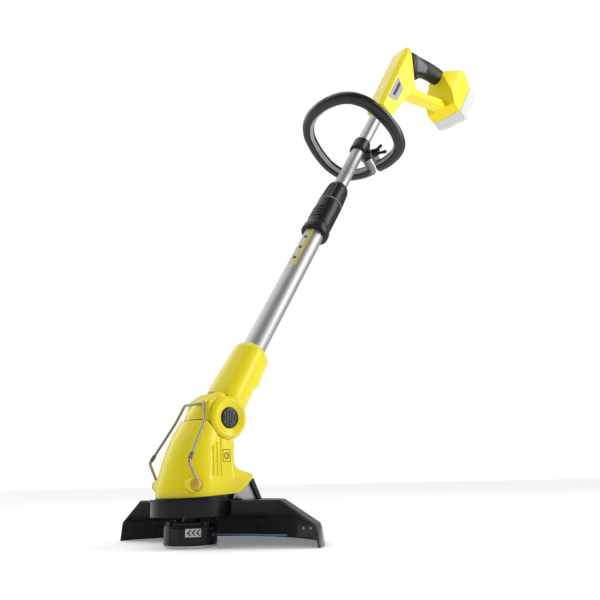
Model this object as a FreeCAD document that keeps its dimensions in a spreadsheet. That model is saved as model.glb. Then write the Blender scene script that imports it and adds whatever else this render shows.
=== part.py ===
"""Cordless lawn edger and trimmer: battery, rear handle, loop handle, telescopic pole, tilting head, spool and guard.

Frame: millimetres, +Z up, +Y towards the user, origin at the centre of the spool's foot.
The pole frame used below has its origin on the tilt pivot and its Z along the pole, towards the user's hand;
in it, x is across the tool, v is its Y (below the pole) and u is its Z (along the pole).
"""
import FreeCAD, Part
import math
import os
import re
import Sketcher

Vec = FreeCAD.Vector
X_AXIS = Vec(1, 0, 0)
Z_AXIS = Vec(0, 0, 1)

# Driving dimensions: alias, value in millimetres or degrees.
SIZES = [
    # Fits
    ("seat_gap", 0.3), ("run_fit", 0.06), ("slide_fit", 0.1), ("seam_gap", 0.6),
    # Pole attitude
    ("tube_tilt", 31.5), ("pivot_y", 40), ("pivot_z", 175.5),
    # Spool
    ("spool_r", 36.8), ("spool_top", 29.5), ("spool_wall", 2.4), ("cover_h", 4), ("cover_sink", 1.4), ("foot_r", 31),
    ("line_z", 17.7), ("line_r", 1), ("cut_r", 151), ("line_angle", 21), ("eyelet_r", 3.2),
    ("reel_r", 30.5), ("reel_hub_r", 11), ("reel_low", 6.5), ("reel_high", 25), ("flange_t", 1.6),
    ("wound_r", 27), ("disc_r", 34), ("disc_t", 3.6), ("hub_r", 12), ("hub_top", 40), ("tab_r", 37.4), ("tab_w", 9),
    # Motor
    ("shaft_r", 4), ("shaft_top", 134), ("can_r", 21), ("can_low", 67.7), ("can_top", 126),
    ("bearing_r", 11), ("bearing_t", 7), ("bearing_z", 45), ("plate_r", 45), ("plate_t", 3),
    # Motor skirt
    ("skirt_r", 56), ("skirt_low", 41), ("skirt_wall", 2.6), ("skirt_top", 64.7), ("boss_r", 15),
    ("skirt_flange_r", 59), ("skirt_flange_t", 2.2),
    # Guard
    ("guard_near", 30), ("guard_sweep", 153), ("guard_top", 61), ("guard_wall", 2.6), ("guard_r1", 132),
    ("guard_r2", 180), ("guard_z2", 29), ("guard_flare", 6), ("guard_low", 1.5), ("gusset_w", 40),
    ("cutter_t", 1.4), ("cutter_h", 15), ("cutter_len", 25), ("rivet_r", 1.6),
    # Head
    ("shell_wall", 2.5), ("head_low", 65), ("head_rise", 0.05), ("head_a", 50), ("head_top", 171),
    ("knob_y", -25), ("knob_z", 82), ("knob_r", 8), ("knob_x", 48.6),
    ("knob_len", 7), ("boss_side_r", 9.5), ("tongue_w", 24), ("tongue_r", 16),
    # Plant guard
    ("wire_r", 2), ("wire_bend_x", 51.5), ("wire_bend_y", -39), ("wire_bend_z", 113),
    ("wire_knee_x", 38), ("wire_knee_y", -6), ("wire_knee_z", 171), ("wire_top_x", 25), ("wire_top_y", 0.6),
    ("wire_top_z", 196), ("sleeve_len", 9), ("sleeve_wall", 0.8),
    # Knuckle
    ("disc_edge_r", 31.5), ("cheek_x", 35), ("knuckle_x", 30), ("knuckle_front", 28.5), ("knuckle_top", 29),
    ("shield_v", 44), ("shield_u", 2.9), ("shield_low_v", 29.2), ("shield_low_u", 22.4),
    ("spigot_r", 14), ("spigot_len", 15),
    ("fork_gap", 0.35), ("button_r", 14.6), ("button_x", 35.4), ("button_t", 5), ("button_floor", 26),
    ("axle_r", 5), ("axle_len", 52),
    # Socket on the lower tube
    ("socket_r1", 29.5), ("socket_r2", 28), ("socket_r3", 26.5), ("socket_top", 134), ("socket_floor", 62),
    ("pad_u1", 74), ("pad_u2", 130), ("pad_v", 29.5), ("pad_rise", 3.5), ("pad_w", 28),
    # Tubes
    ("low_tube_r", 18), ("tube_wall", 1.6), ("low_tube_top", 485), ("up_tube_r", 13.2), ("up_tube_low", 330),
    ("tube_stop", 111), ("bush_len", 28),
    # Telescope sleeve
    ("sleeve_low", 407), ("sleeve_rim_r", 26), ("sleeve_rim_h", 15), ("sleeve_r", 23.6), ("sleeve_top", 491.7),
    ("collar_low", 492.2), ("collar_r1", 24), ("collar_r2", 21.6), ("collar_top", 544), ("collet_wall", 3),
    ("collet_flange", 3), ("strip_w", 13), ("strip_turn", 26), ("strip_len", 72), ("strip_t", 0.6), ("strip_top", 403),
    # Loop handle
    ("clamp_low", 659), ("clamp_len", 32), ("clamp_r", 18), ("bolt_v", 27), ("bolt_u", 682), ("bolt_r", 3),
    ("lug_x", 8), ("lug_r", 8), ("arm_x1", 8.4), ("arm_x2", 14.4), ("arm_eye_r", 9.5), ("arm_w", 24),
    ("ring_u", 674), ("ring_r", 12), ("ring_top", 118), ("ring_half", 94.5), ("ring_low", 54),
    ("wing_hub_r", 7), ("wing_len", 27), ("wing_reach", 12), ("wing_t", 4.8),
    # Rear housing
    ("apex_u", 1046), ("house_len", 243), ("house_x", 24), ("house_wall", 2.6), ("house_front", 21),
    ("house_front_top", 28.5), ("strut_x", 17), ("shoe_x", 41), ("mate_v", 176), ("shoe_drop", 26), ("shoe_rise", 82),
    ("shoe_floor", 30), ("badge_t", 0.8), ("badge_len", 52), ("badge_drop", 166),
    ("grip_wall", 3), ("trigger_w", 13), ("trigger_pin_r", 2), ("trigger_pin_v", 31), ("trigger_pin_drop", 8),
    ("trigger_clear", 0.4), ("lock_r", 5), ("lock_v", 27), ("lock_u", 4), ("lock_len", 38),
    # Battery
    ("pack_t", 32), ("pack_drop", 23), ("pack_rise", 88), ("pack_wall", 2), ("tongue_x", 27), ("tongue_rail_x", 31),
    ("rail_depth", 24), ("rail_t", 6), ("rail_clear", 0.4), ("tongue_drop", 15), ("tongue_rise", 74),
    ("cell_r", 9.1), ("cell_len", 65), ("cell_pitch", 19), ("cell_count", 5),
    # Fasteners and leads
    ("screw_r", 2), ("screw_head_r", 3.6), ("screw_head_t", 2.4), ("screw_len", 22), ("screw_boss_r", 5),
    ("screw_clear", 0.05),
    ("lead_r", 2.5), ("coil_r", 8),
    # Cup springs
    ("cup_r", 7), ("cup_flare", 5), ("cup_t", 1),
]
NAMES = [name for name, value in SIZES]

doc = FreeCAD.newDocument("lawn_edger")
sheet = doc.addObject("Spreadsheet::Sheet", "sizes")
for row, (name, value) in enumerate(SIZES, start=1):
    sheet.set("A%d" % row, name)
    sheet.set("B%d" % row, str(value))
    sheet.setAlias("B%d" % row, name)
doc.recompute()


def mm(name):
    """The value of one driving dimension."""
    return float(sheet.get(name))


def bound(text):
    """An expression with each alias written as a cell of the sheet."""
    return re.sub(r"[a-z]\w*", lambda word: "sizes." + word.group() if word.group() in NAMES else word.group(), text)


PARTS = []


def keep(obj, label):
    """Name an object as a finished sub-part."""
    obj.Label = label
    PARTS.append(obj)
    return obj


def stand_on_pole(obj, v="0", u="0"):
    """Place an object in the pole frame, at (v, u)."""
    obj.Placement = FreeCAD.Placement(Vec(0, 0, 0), FreeCAD.Rotation(X_AXIS, -mm("tube_tilt")))
    tilt = "(tube_tilt * 1deg)"
    obj.setExpression("Placement.Rotation.Angle", bound("-tube_tilt * 1deg"))
    obj.setExpression("Placement.Base.y", bound("pivot_y + (%s) * cos%s + (%s) * sin%s" % (v, tilt, u, tilt)))
    obj.setExpression("Placement.Base.z", bound("pivot_z - (%s) * sin%s + (%s) * cos%s" % (v, tilt, u, tilt)))
    return obj


def stand_on_apex(obj):
    """Place an object in the pole frame, measured from the top of the rear housing."""
    return stand_on_pole(obj, u="apex_u")


def new_body(label):
    return keep(doc.addObject("PartDesign::Body", label), label)


def sketch_on(body, role):
    """A sketch on one of the body's own origin planes."""
    sketch = body.newObject("Sketcher::SketchObject", body.Name + "_sketch")
    plane = [part for part in body.Origin.OriginFeatures if part.Role == role][0]
    sketch.AttachmentSupport = [(plane, "")]
    sketch.MapMode = "FlatFace"
    return sketch


def draw_polygon(sketch, points):
    """A closed polygon whose corners are held at expressions of the sheet."""
    first = sketch.GeometryCount
    count = len(points)
    for i in range(count):
        start = Vec(i, i * i, 0)
        end = Vec(i + 1, (i + 1) ** 2, 0)
        sketch.addGeometry(Part.LineSegment(start, end), False)
    for i in range(count):
        after = first + (i + 1) % count
        sketch.addConstraint(Sketcher.Constraint("Coincident", first + i, 2, after, 1))
    for i, (across, along) in enumerate(points):
        for kind, text in (("DistanceX", across), ("DistanceY", along)):
            index = sketch.addConstraint(Sketcher.Constraint(kind, -1, 1, first + i, 1, 1.0 + i))
            sketch.setExpression("Constraints[%d]" % index, bound(text))


def draw_circle(sketch, across, along, radius):
    """A circle held at expressions of the sheet."""
    circle = sketch.addGeometry(Part.Circle(Vec(1, 1, 0), Z_AXIS, 1), False)
    for kind, text in (("DistanceX", across), ("DistanceY", along)):
        index = sketch.addConstraint(Sketcher.Constraint(kind, -1, 1, circle, 3, 1.0))
        sketch.setExpression("Constraints[%d]" % index, bound(text))
    index = sketch.addConstraint(Sketcher.Constraint("Radius", circle, 1.0))
    sketch.setExpression("Constraints[%d]" % index, bound(radius))


def revolve(body, points, axis="V_Axis", angle="360"):
    """Add a turned solid: the polygon is (radius, height), or (length, radius) about the H axis."""
    sketch = sketch_on(body, "XZ_Plane")
    draw_polygon(sketch, points)
    turned = body.newObject("PartDesign::Revolution", body.Name + "_turned")
    turned.Profile = sketch
    turned.ReferenceAxis = (sketch, [axis])
    turned.setExpression("Angle", bound(angle))
    return turned


def turned(label, points, axis="V_Axis"):
    body = new_body(label)
    revolve(body, points, axis)
    return body


def pad(body, role, points, length):
    """Pad a polygon equally to both sides of an origin plane."""
    sketch = sketch_on(body, role)
    draw_polygon(sketch, points)
    solid = body.newObject("PartDesign::Pad", body.Name + "_pad")
    solid.Profile = sketch
    solid.SideType = "Symmetric"
    solid.setExpression("Length", bound(length))
    return solid


def cut_through(body, role, points=None, circle=None, length="400"):
    """Pocket a polygon or a circle equally to both sides of an origin plane."""
    sketch = sketch_on(body, role)
    if circle:
        draw_circle(sketch, *circle)
    else:
        draw_polygon(sketch, points)
    hole = body.newObject("PartDesign::Pocket", body.Name + "_pocket")
    hole.Profile = sketch
    hole.SideType = "Symmetric"
    hole.setExpression("Length", bound(length))
    return hole


def shaped(label, shape, place=None):
    """A sub-part whose shape no single PartDesign feature gives."""
    piece = keep(doc.addObject("Part::Feature", label), label)
    piece.Shape = shape if shape.Placement.isIdentity() else Part.makeCompound([shape])
    if place:
        place(piece)
    return piece


def box(low, high):
    size = [high[i] - low[i] for i in range(3)]
    return Part.makeBox(size[0], size[1], size[2], Vec(*low))


def rod(radius, start, end):
    start = Vec(*start)
    along = Vec(*end) - start
    return Part.makeCylinder(radius, along.Length, start, along)


def tube(outer, inner, start, end):
    return rod(outer, start, end).cut(rod(inner, start, end))


def prism(points, low, high):
    """A polygon of (y, z) points pushed along X from low to high."""
    wire = Part.makePolygon([Vec(low, y, z) for y, z in points + points[:1]])
    return Part.Face(wire).extrude(Vec(high - low, 0, 0))


def slab(points, low, high):
    """A polygon of (x, y) points raised from low to high."""
    wire = Part.makePolygon([Vec(x, y, low) for x, y in points + points[:1]])
    return Part.Face(wire).extrude(Vec(0, 0, high - low))


def rounded_wire(points, radii):
    """Straight runs through the points, joined by tangent arcs of the given radii."""
    edges = []
    last = points[0]
    for i in range(1, len(points) - 1):
        here = points[i]
        back = (points[i - 1] - here).normalize()
        ahead = (points[i + 1] - here).normalize()
        half = back.getAngle(ahead) / 2
        reach = radii[i - 1] / math.tan(half)
        middle = (back + ahead).normalize()
        start = here + back * reach
        end = here + ahead * reach
        top = here + middle * (radii[i - 1] / math.sin(half) - radii[i - 1])
        edges.append(Part.LineSegment(last, start).toShape())
        edges.append(Part.Arc(start, top, end).toShape())
        last = end
    edges.append(Part.LineSegment(last, points[-1]).toShape())
    return Part.Wire(edges)


def swept(path, radius):
    """A round rod along a path."""
    start = path.OrderedEdges[0]
    first = start.firstVertex().Point
    direction = start.tangentAt(start.FirstParameter)
    ring = Part.Wire([Part.makeCircle(radius, first, direction)])
    return path.makePipeShell([ring], True, False)


def helix_spring(radius, wire, length, turns, start, axis):
    """A coil spring from start along axis."""
    rise = length - 2 * wire
    coil = Part.makeHelix(rise / turns, rise, radius)
    section = Part.Wire([Part.makeCircle(wire, Vec(radius, 0, 0), Vec(0, 1, 0))])
    spring = Part.Wire(coil).makePipeShell([section], True, True)
    spring.translate(Vec(0, 0, wire))
    spring.Placement = FreeCAD.Placement(Vec(*start), FreeCAD.Rotation(Z_AXIS, Vec(*axis))) * spring.Placement
    return spring


def cup_spring(radius, start, along, length):
    """A conical cup spring whose narrow end is at start."""
    wall = mm("cup_t")
    wide = radius + mm("cup_flare")
    outer = Part.makeCone(radius, wide, length, start, along)
    return outer.cut(Part.makeCone(radius - wall, wide - wall, length, start, along))


def screw(y, z, x_head, length):
    """A screw along +X whose head starts at x_head."""
    head = rod(mm("screw_head_r"), (x_head, y, z), (x_head + mm("screw_head_t"), y, z))
    shank = rod(mm("screw_r"), (x_head, y, z), (x_head + length, y, z))
    return head.fuse(shank)


def halves(shape):
    """The left (x < 0) and right (x > 0) half of a shell."""
    reach = 600
    left = shape.common(box((-reach, -reach, -reach), (0, reach, 3 * reach)))
    right = shape.common(box((0, -reach, -reach), (reach, reach, 3 * reach)))
    return left, right


# ---------------------------------------------------------------- spool

def make_spool():
    """The line spool: housing, cover, reel, wound line, eyelets, cutting line and the drive disc on the shaft."""
    housing = turned("spool_housing", [
        ("disc_r - 14", "spool_top - spool_wall"), ("spool_r - spool_wall", "spool_top - spool_wall"),
        ("spool_r - spool_wall", "cover_h"), ("spool_r", "cover_h"), ("spool_r", "spool_top"),
        ("disc_r - 14", "spool_top")])
    cut_through(housing, "XZ_Plane", circle=("0", "line_z", "eyelet_r"), length="2 * spool_r + 10")
    housing.Placement = FreeCAD.Placement(Vec(0, 0, 0), FreeCAD.Rotation(Z_AXIS, mm("line_angle") - 90))
    housing.setExpression("Placement.Rotation.Angle", bound("(line_angle - 90) * 1deg"))
    turned("spool_cover", [
        ("0", "0"), ("foot_r", "0"), ("spool_r - 0.6", "1.6"), ("spool_r - 0.6", "cover_h"),
        ("spool_r - spool_wall - seat_gap", "cover_h"), ("spool_r - spool_wall - seat_gap", "cover_h + 3"),
        ("spool_r - 2 * spool_wall", "cover_h + 3"), ("spool_r - 2 * spool_wall", "cover_h - cover_sink"),
        ("0", "cover_h - cover_sink")])
    turned("line_reel", [
        ("shaft_r + 2", "reel_low"), ("reel_r", "reel_low"), ("reel_r", "reel_low + flange_t"),
        ("reel_hub_r", "reel_low + flange_t"), ("reel_hub_r", "reel_high - flange_t"),
        ("reel_r", "reel_high - flange_t"), ("reel_r", "reel_high"), ("shaft_r + 2", "reel_high")])
    turned("wound_line", [
        ("reel_hub_r", "reel_low + flange_t"), ("wound_r", "reel_low + flange_t"),
        ("wound_r", "reel_high - flange_t"), ("reel_hub_r", "reel_high - flange_t")])
    drive = turned("drive_disc", [
        ("shaft_r", "spool_top"), ("disc_r", "spool_top"), ("disc_r", "spool_top + disc_t"),
        ("hub_r", "spool_top + disc_t"), ("hub_r", "hub_top"), ("shaft_r", "hub_top")])
    for role in ("XZ_Plane", "YZ_Plane"):
        pad(drive, role, [
            ("disc_r - 2", "spool_top"), ("tab_r", "spool_top"), ("tab_r", "spool_top + disc_t + 1.5"),
            ("disc_r - 2", "spool_top + disc_t + 1.5")], "tab_w")
        pad(drive, role, [
            ("-disc_r + 2", "spool_top"), ("-tab_r", "spool_top"), ("-tab_r", "spool_top + disc_t + 1.5"),
            ("-disc_r + 2", "spool_top + disc_t + 1.5")], "tab_w")
    angle = math.radians(mm("line_angle"))
    ray = Vec(math.cos(angle), math.sin(angle), 0)
    rise = Vec(0, 0, mm("line_z"))
    eyelets = []
    for side in (1, -1):
        inner = ray * (side * (mm("spool_r") - mm("spool_wall") - 1.5)) + rise
        outer = ray * (side * (mm("spool_r") + 1.2)) + rise
        eyelets.append(tube(mm("eyelet_r"), mm("line_r") + 0.3, inner, outer))
    shaped("line_eyelets", Part.makeCompound(eyelets))
    line = rod(mm("line_r"), ray * mm("wound_r") + rise, ray * mm("cut_r") + rise)
    shaped("cutting_line", line)
    floor = mm("cover_h") - mm("cover_sink")
    shaped("spool_spring", cup_spring(mm("shaft_r") + 4, Vec(0, 0, floor), Z_AXIS, mm("reel_low") - floor))
    turned("motor_shaft", [
        ("0", "reel_low + 2"), ("shaft_r", "reel_low + 2"), ("shaft_r", "shaft_top"), ("0", "shaft_top")])


# ---------------------------------------------------------------- motor and skirt

def make_motor():
    """Motor can, its mounting plate and bearings, inside the head."""
    turned("motor_can", [
        ("shaft_r + 0.5", "can_low"), ("can_r", "can_low"), ("can_r", "can_top"), ("shaft_r + 0.5", "can_top")])
    turned("motor_plate", [
        ("shaft_r + 3", "can_low - plate_t"), ("plate_r", "can_low - plate_t"), ("plate_r", "can_low"),
        ("shaft_r + 3", "can_low")])
    low = mm("bearing_z")
    bore = mm("shaft_r") + mm("run_fit")
    top = mm("can_top")
    rings = [tube(mm("bearing_r") - mm("run_fit"), bore, (0, 0, low), (0, 0, low + mm("bearing_t"))),
             tube(8, bore, (0, 0, top), (0, 0, top + 5))]
    shaped("motor_bearings", Part.makeCompound(rings))
    skirt = turned("motor_skirt", [
        ("shaft_r + 1", "skirt_low"), ("skirt_r", "skirt_low"), ("skirt_r", "guard_top"),
        ("skirt_flange_r", "guard_top"), ("skirt_flange_r", "guard_top + skirt_flange_t"),
        ("head_a", "guard_top + skirt_flange_t"), ("head_a", "skirt_top + 8"),
        ("plate_r + seat_gap", "skirt_top + 8"), ("plate_r + seat_gap", "skirt_top"), ("plate_r - 8", "skirt_top"),
        ("plate_r - 8", "skirt_top - 3"), ("skirt_r - skirt_wall", "skirt_top - 3"),
        ("skirt_r - skirt_wall", "skirt_low + skirt_wall"), ("boss_r", "skirt_low + skirt_wall"),
        ("boss_r", "bearing_z + bearing_t"), ("bearing_r", "bearing_z + bearing_t"),
        ("bearing_r", "bearing_z"), ("shaft_r + 1", "bearing_z")])
    cut_through(skirt, "YZ_Plane", [
        ("-70", "head_low - 20 * head_rise - seat_gap"), ("110", "head_low + 160 * head_rise - seat_gap"),
        ("110", "head_low + 40"), ("-70", "head_low + 40")])


# ---------------------------------------------------------------- guard

def make_guard():
    """The debris guard behind the spool, its rear gusset, line cutter and screws."""
    guard = new_body("debris_guard")
    revolve(guard, [
        ("skirt_r + 0.3", "guard_top - guard_wall"), ("guard_r1 - 1", "guard_top - guard_wall"),
        ("guard_r2 - guard_wall", "guard_z2 - 1"), ("guard_r2 + guard_flare - guard_wall", "guard_low"),
        ("guard_r2 + guard_flare", "guard_low"), ("guard_r2", "guard_z2"), ("guard_r1", "guard_top"),
        ("skirt_r + 0.3", "guard_top")], angle="guard_sweep")
    guard.Placement = FreeCAD.Placement(Vec(0, 0, 0), FreeCAD.Rotation(Z_AXIS, mm("guard_near")))
    guard.setExpression("Placement.Rotation.Angle", bound("guard_near * 1deg"))
    top = mm("guard_top")
    half = mm("gusset_w") / 2
    gusset = prism([(62, top), (62, 69.9), (66.8, 69.9), (92, 90.5), (95, 90.5), (110, top)], -half, half)
    recess = [(66, top + 3), (72, 70), (89, 84), (92, 84), (98, top + 3)]
    gusset = gusset.cut(prism(recess, -half - 1, -half + 6))
    gusset = gusset.cut(prism(recess, half - 6, half + 1))
    gusset = gusset.cut(Part.makeCylinder(mm("skirt_flange_r") + 0.3, 5, Vec(0, 0, top)))
    shaped("guard_gusset", gusset)
    spin = FreeCAD.Placement(Vec(0, 0, 0), FreeCAD.Rotation(Z_AXIS, mm("guard_near") + 4))
    reach = mm("guard_r2") - mm("guard_wall") - mm("seat_gap")
    high = mm("guard_z2") - 1
    inner = reach - mm("cutter_len")
    blade = box((inner, 0, high - mm("cutter_h")), (reach, mm("cutter_t"), high))
    slope = (mm("guard_top") - mm("guard_wall") - high) / (mm("guard_r2") - mm("guard_wall") - mm("guard_r1") + 1)
    bracket = Part.Face(Part.makePolygon([
        Vec(inner + 4, mm("cutter_t"), high - 8), Vec(reach - 0.4, mm("cutter_t"), high - 8),
        Vec(reach - 0.4, mm("cutter_t"), high), Vec(inner + 4, mm("cutter_t"), high + (reach - inner - 5) * slope),
        Vec(inner + 4, mm("cutter_t"), high - 8)])).extrude(Vec(0, 4, 0))
    rivets = []
    for across in (inner + 9, inner + 19):
        hole = rod(mm("rivet_r"), (across, -1, high - 4), (across, mm("cutter_t") + 5, high - 4))
        rivets.append(hole)
        blade = blade.cut(hole)
        bracket = bracket.cut(hole)
    for label, shape in (("line_cutter", blade), ("cutter_bracket", bracket),
                         ("cutter_rivets", Part.makeCompound(rivets))):
        shape.Placement = spin
        shaped(label, shape)
    screws = []
    lugs = []
    for angle in (45, 131, 168):
        at = math.radians(angle)
        centre = Vec(math.cos(at), math.sin(at), 0) * (mm("skirt_flange_r") + 7)
        washer = Part.makeCylinder(6, mm("skirt_flange_t"), centre + Vec(0, 0, top))
        hole = Part.makeCylinder(mm("screw_r"), 20, centre + Vec(0, 0, top - mm("guard_wall")))
        lugs.append(washer.cut(hole).cut(Part.makeCylinder(mm("skirt_flange_r") + 0.3, 5, Vec(0, 0, top))))
        head = Part.makeCylinder(mm("screw_head_r"), mm("screw_head_t"), centre + Vec(0, 0, top + mm("skirt_flange_t")))
        screws.append(head.fuse(Part.makeCylinder(mm("screw_r"), mm("skirt_flange_t"), centre + Vec(0, 0, top))))
    shaped("guard_washers", Part.makeCompound(lugs))
    shaped("guard_screws", Part.makeCompound(screws))


# ---------------------------------------------------------------- head

# Levels of the head: share of the height from its lower edge to its top, then front radius, front centre, half
# width and back as shares of its largest radius.
HEAD_LEVELS = [(-0.0472, 1, 0, 0.8, 1.2), (0.2547, 1, 0, 0.68, 1.14), (0.5, 0.89, 0.06, 0.65, 1.08),
               (0.7642, 0.76, 0.16, 0.65, 1.06), (1.0472, 0.65, 0.38, 0.64, 1.06)]


def head_section(level, shrink):
    """One level of the head: a round front, straight sides and a square back with rounded corners."""
    z = mm("head_low") + level[0] * (mm("head_top") - mm("head_low"))
    radius, front, width, back = [share * mm("head_a") for share in level[1:]]
    radius = radius - shrink
    width = width - shrink
    back = back - shrink
    corner = 9 - shrink
    turn = corner * (1 - math.sqrt(0.5))
    points = [Vec(radius, front, z), Vec(0, front - radius, z), Vec(-radius, front, z),
              Vec(-width, back - corner, z), Vec(-width + turn, back - turn, z), Vec(-width + corner, back, z),
              Vec(width - corner, back, z), Vec(width - turn, back - turn, z), Vec(width, back - corner, z)]
    edges = [Part.Arc(points[0], points[1], points[2]).toShape(),
             Part.LineSegment(points[2], points[3]).toShape(),
             Part.Arc(points[3], points[4], points[5]).toShape(),
             Part.LineSegment(points[5], points[6]).toShape(),
             Part.Arc(points[6], points[7], points[8]).toShape(),
             Part.LineSegment(points[8], points[0]).toShape()]
    return Part.Wire(edges)


def head_lip(shrink):
    """The flared lip at the back of the head, over the guard."""
    side = prism([(30, 60), (66 - shrink, 70), (92 - shrink, 91), (84 - shrink, 101 - shrink),
                  (56 - shrink, 110 - shrink), (30, 112)], -40, 40)
    plan = slab([(-36 + shrink, 30), (36 - shrink, 30), (22 - shrink, 93), (-22 + shrink, 93)], 50, 120)
    return side.common(plan)


def head_solid(shrink):
    body = Part.makeLoft([head_section(level, shrink) for level in HEAD_LEVELS], True)
    return body.fuse(head_lip(shrink)).removeSplitter()


def head_bottom():
    """Everything under the head's lower edge, which rises towards the back."""
    low = mm("head_low")
    rise = mm("head_rise")
    return prism([(-70, low - 20 * rise), (110, low + 160 * rise), (110, 0), (-70, 0)], -80, 80)


def seat_of_knuckle():
    """The space above the head where the knuckle turns."""
    gap = mm("seam_gap")
    py, pz = mm("pivot_y"), mm("pivot_z")
    above = prism([(-60, mm("head_top")), (3 - gap, mm("head_top")), (22 - gap, pz - mm("disc_edge_r") + 3),
                   (py, pz - mm("disc_edge_r")), (100, pz - mm("disc_edge_r")), (100, 260), (-60, 260)], -80, 80)
    disc = rod(mm("disc_edge_r") + gap, (-80, py, pz), (80, py, pz))
    return above.fuse(disc)


def head_half():
    """The right-hand head shell before its screw holes: wall, half of the tilt tongue, side boss and grooves."""
    right = box((0, -80, 0), (90, 120, 260))
    outer = head_solid(0).common(right).cut(head_bottom()).cut(seat_of_knuckle())
    inner = head_solid(mm("shell_wall")).cut(box((-80, -80, 137), (80, 110, 260)))
    shell = outer.cut(inner)
    py, pz = mm("pivot_y"), mm("pivot_z")
    half = mm("tongue_w") / 2
    radius = mm("tongue_r")
    tongue = rod(radius, (0, py, pz), (half, py, pz))
    tongue = tongue.fuse(box((0, py - radius, pz - mm("disc_edge_r") - 8), (half, py + radius, pz)))
    shell = shell.fuse(tongue)
    ky, kz = mm("knob_y"), mm("knob_z")
    boss = rod(mm("boss_side_r"), (34, ky, kz), (mm("knob_x") - mm("seat_gap"), ky, kz))
    shell = shell.fuse(boss.cut(inner))
    deep = head_solid(1.2)
    for i in range(3):
        groove = box((28, 4 + 8 * i, 94), (60, 7 + 8 * i, 136 + 3 * i))
        shell = shell.cut(groove.cut(deep))
    for y, z in HEAD_SCREWS:
        shell = shell.fuse(rod(mm("screw_boss_r"), (0, y, z), (80, y, z)).common(outer))
    shell = shell.cut(rod(mm("axle_r") + mm("run_fit"), (-80, py, pz), (80, py, pz)))
    shell = shell.cut(Part.makeCylinder(mm("can_r") + 0.4, 200, Vec(0, 0, 0)))
    return shell.cut(Part.makeCylinder(mm("plate_r") + 0.2, mm("can_low") + 0.2))


HEAD_SCREWS = [(32, 84), (34, 128), (-26, 112), (-37, 75)]


def screw_holes(spots, depth):
    """Clearance holes with countersunk ends on the left, and pilot holes on the right."""
    reach = 2 * mm("head_a")
    holes = []
    for y, z in spots:
        holes.append(rod(mm("screw_r") + mm("screw_clear"), (-reach, y, z), (depth, y, z)))
        holes.append(rod(mm("screw_head_r") + 0.2, (-reach, y, z), (-8, y, z)))
    return holes


def make_head():
    """The two head shells with tilt tongue, side bosses and screws."""
    right = head_half()
    left = right.mirror(Vec(0, 0, 0), X_AXIS)
    for hole in screw_holes(HEAD_SCREWS, 12):
        left = left.cut(hole)
        right = right.cut(hole)
    shaped("head_shell_left", left)
    shaped("head_shell_right", right)
    shaped("head_screws", Part.makeCompound([
        screw(y, z, -8 - mm("screw_head_t"), mm("screw_len")) for y, z in HEAD_SCREWS]))


def make_plant_guard():
    """The folding wire that keeps the line off plants: wire, bend sleeves and pivot knobs."""
    right = [Vec(mm("knob_x") + 3.5, mm("knob_y"), mm("knob_z") + mm("knob_r") * 0.5),
             Vec(mm("wire_bend_x"), mm("wire_bend_y"), mm("wire_bend_z")),
             Vec(mm("wire_knee_x"), mm("wire_knee_y"), mm("wire_knee_z")),
             Vec(mm("wire_top_x"), mm("wire_top_y"), mm("wire_top_z"))]
    left = [Vec(-p.x, p.y, p.z) for p in reversed(right)]
    radii = [6, 30, 5, 5, 30, 6]
    wire = swept(rounded_wire(right + left, radii), mm("wire_r"))
    knobs = []
    sleeves = []
    for side in (1, -1):
        centre = (side * mm("knob_x"), mm("knob_y"), mm("knob_z"))
        end = (side * (mm("knob_x") + mm("knob_len")), mm("knob_y"), mm("knob_z"))
        knobs.append(rod(mm("knob_r"), centre, end).cut(wire))
        bend = Vec(side * mm("wire_bend_x"), mm("wire_bend_y"), mm("wire_bend_z"))
        knee = Vec(side * mm("wire_knee_x"), mm("wire_knee_y"), mm("wire_knee_z"))
        along = (knee - bend).normalize()
        start = bend + along * 4
        sleeves.append(tube(mm("wire_r") + mm("sleeve_wall"), mm("wire_r"), start, start + along * mm("sleeve_len")))
    shaped("plant_guard_wire", wire)
    shaped("plant_guard_knobs", Part.makeCompound(knobs))
    shaped("plant_guard_sleeves", Part.makeCompound(sleeves))


# ---------------------------------------------------------------- knuckle

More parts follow.
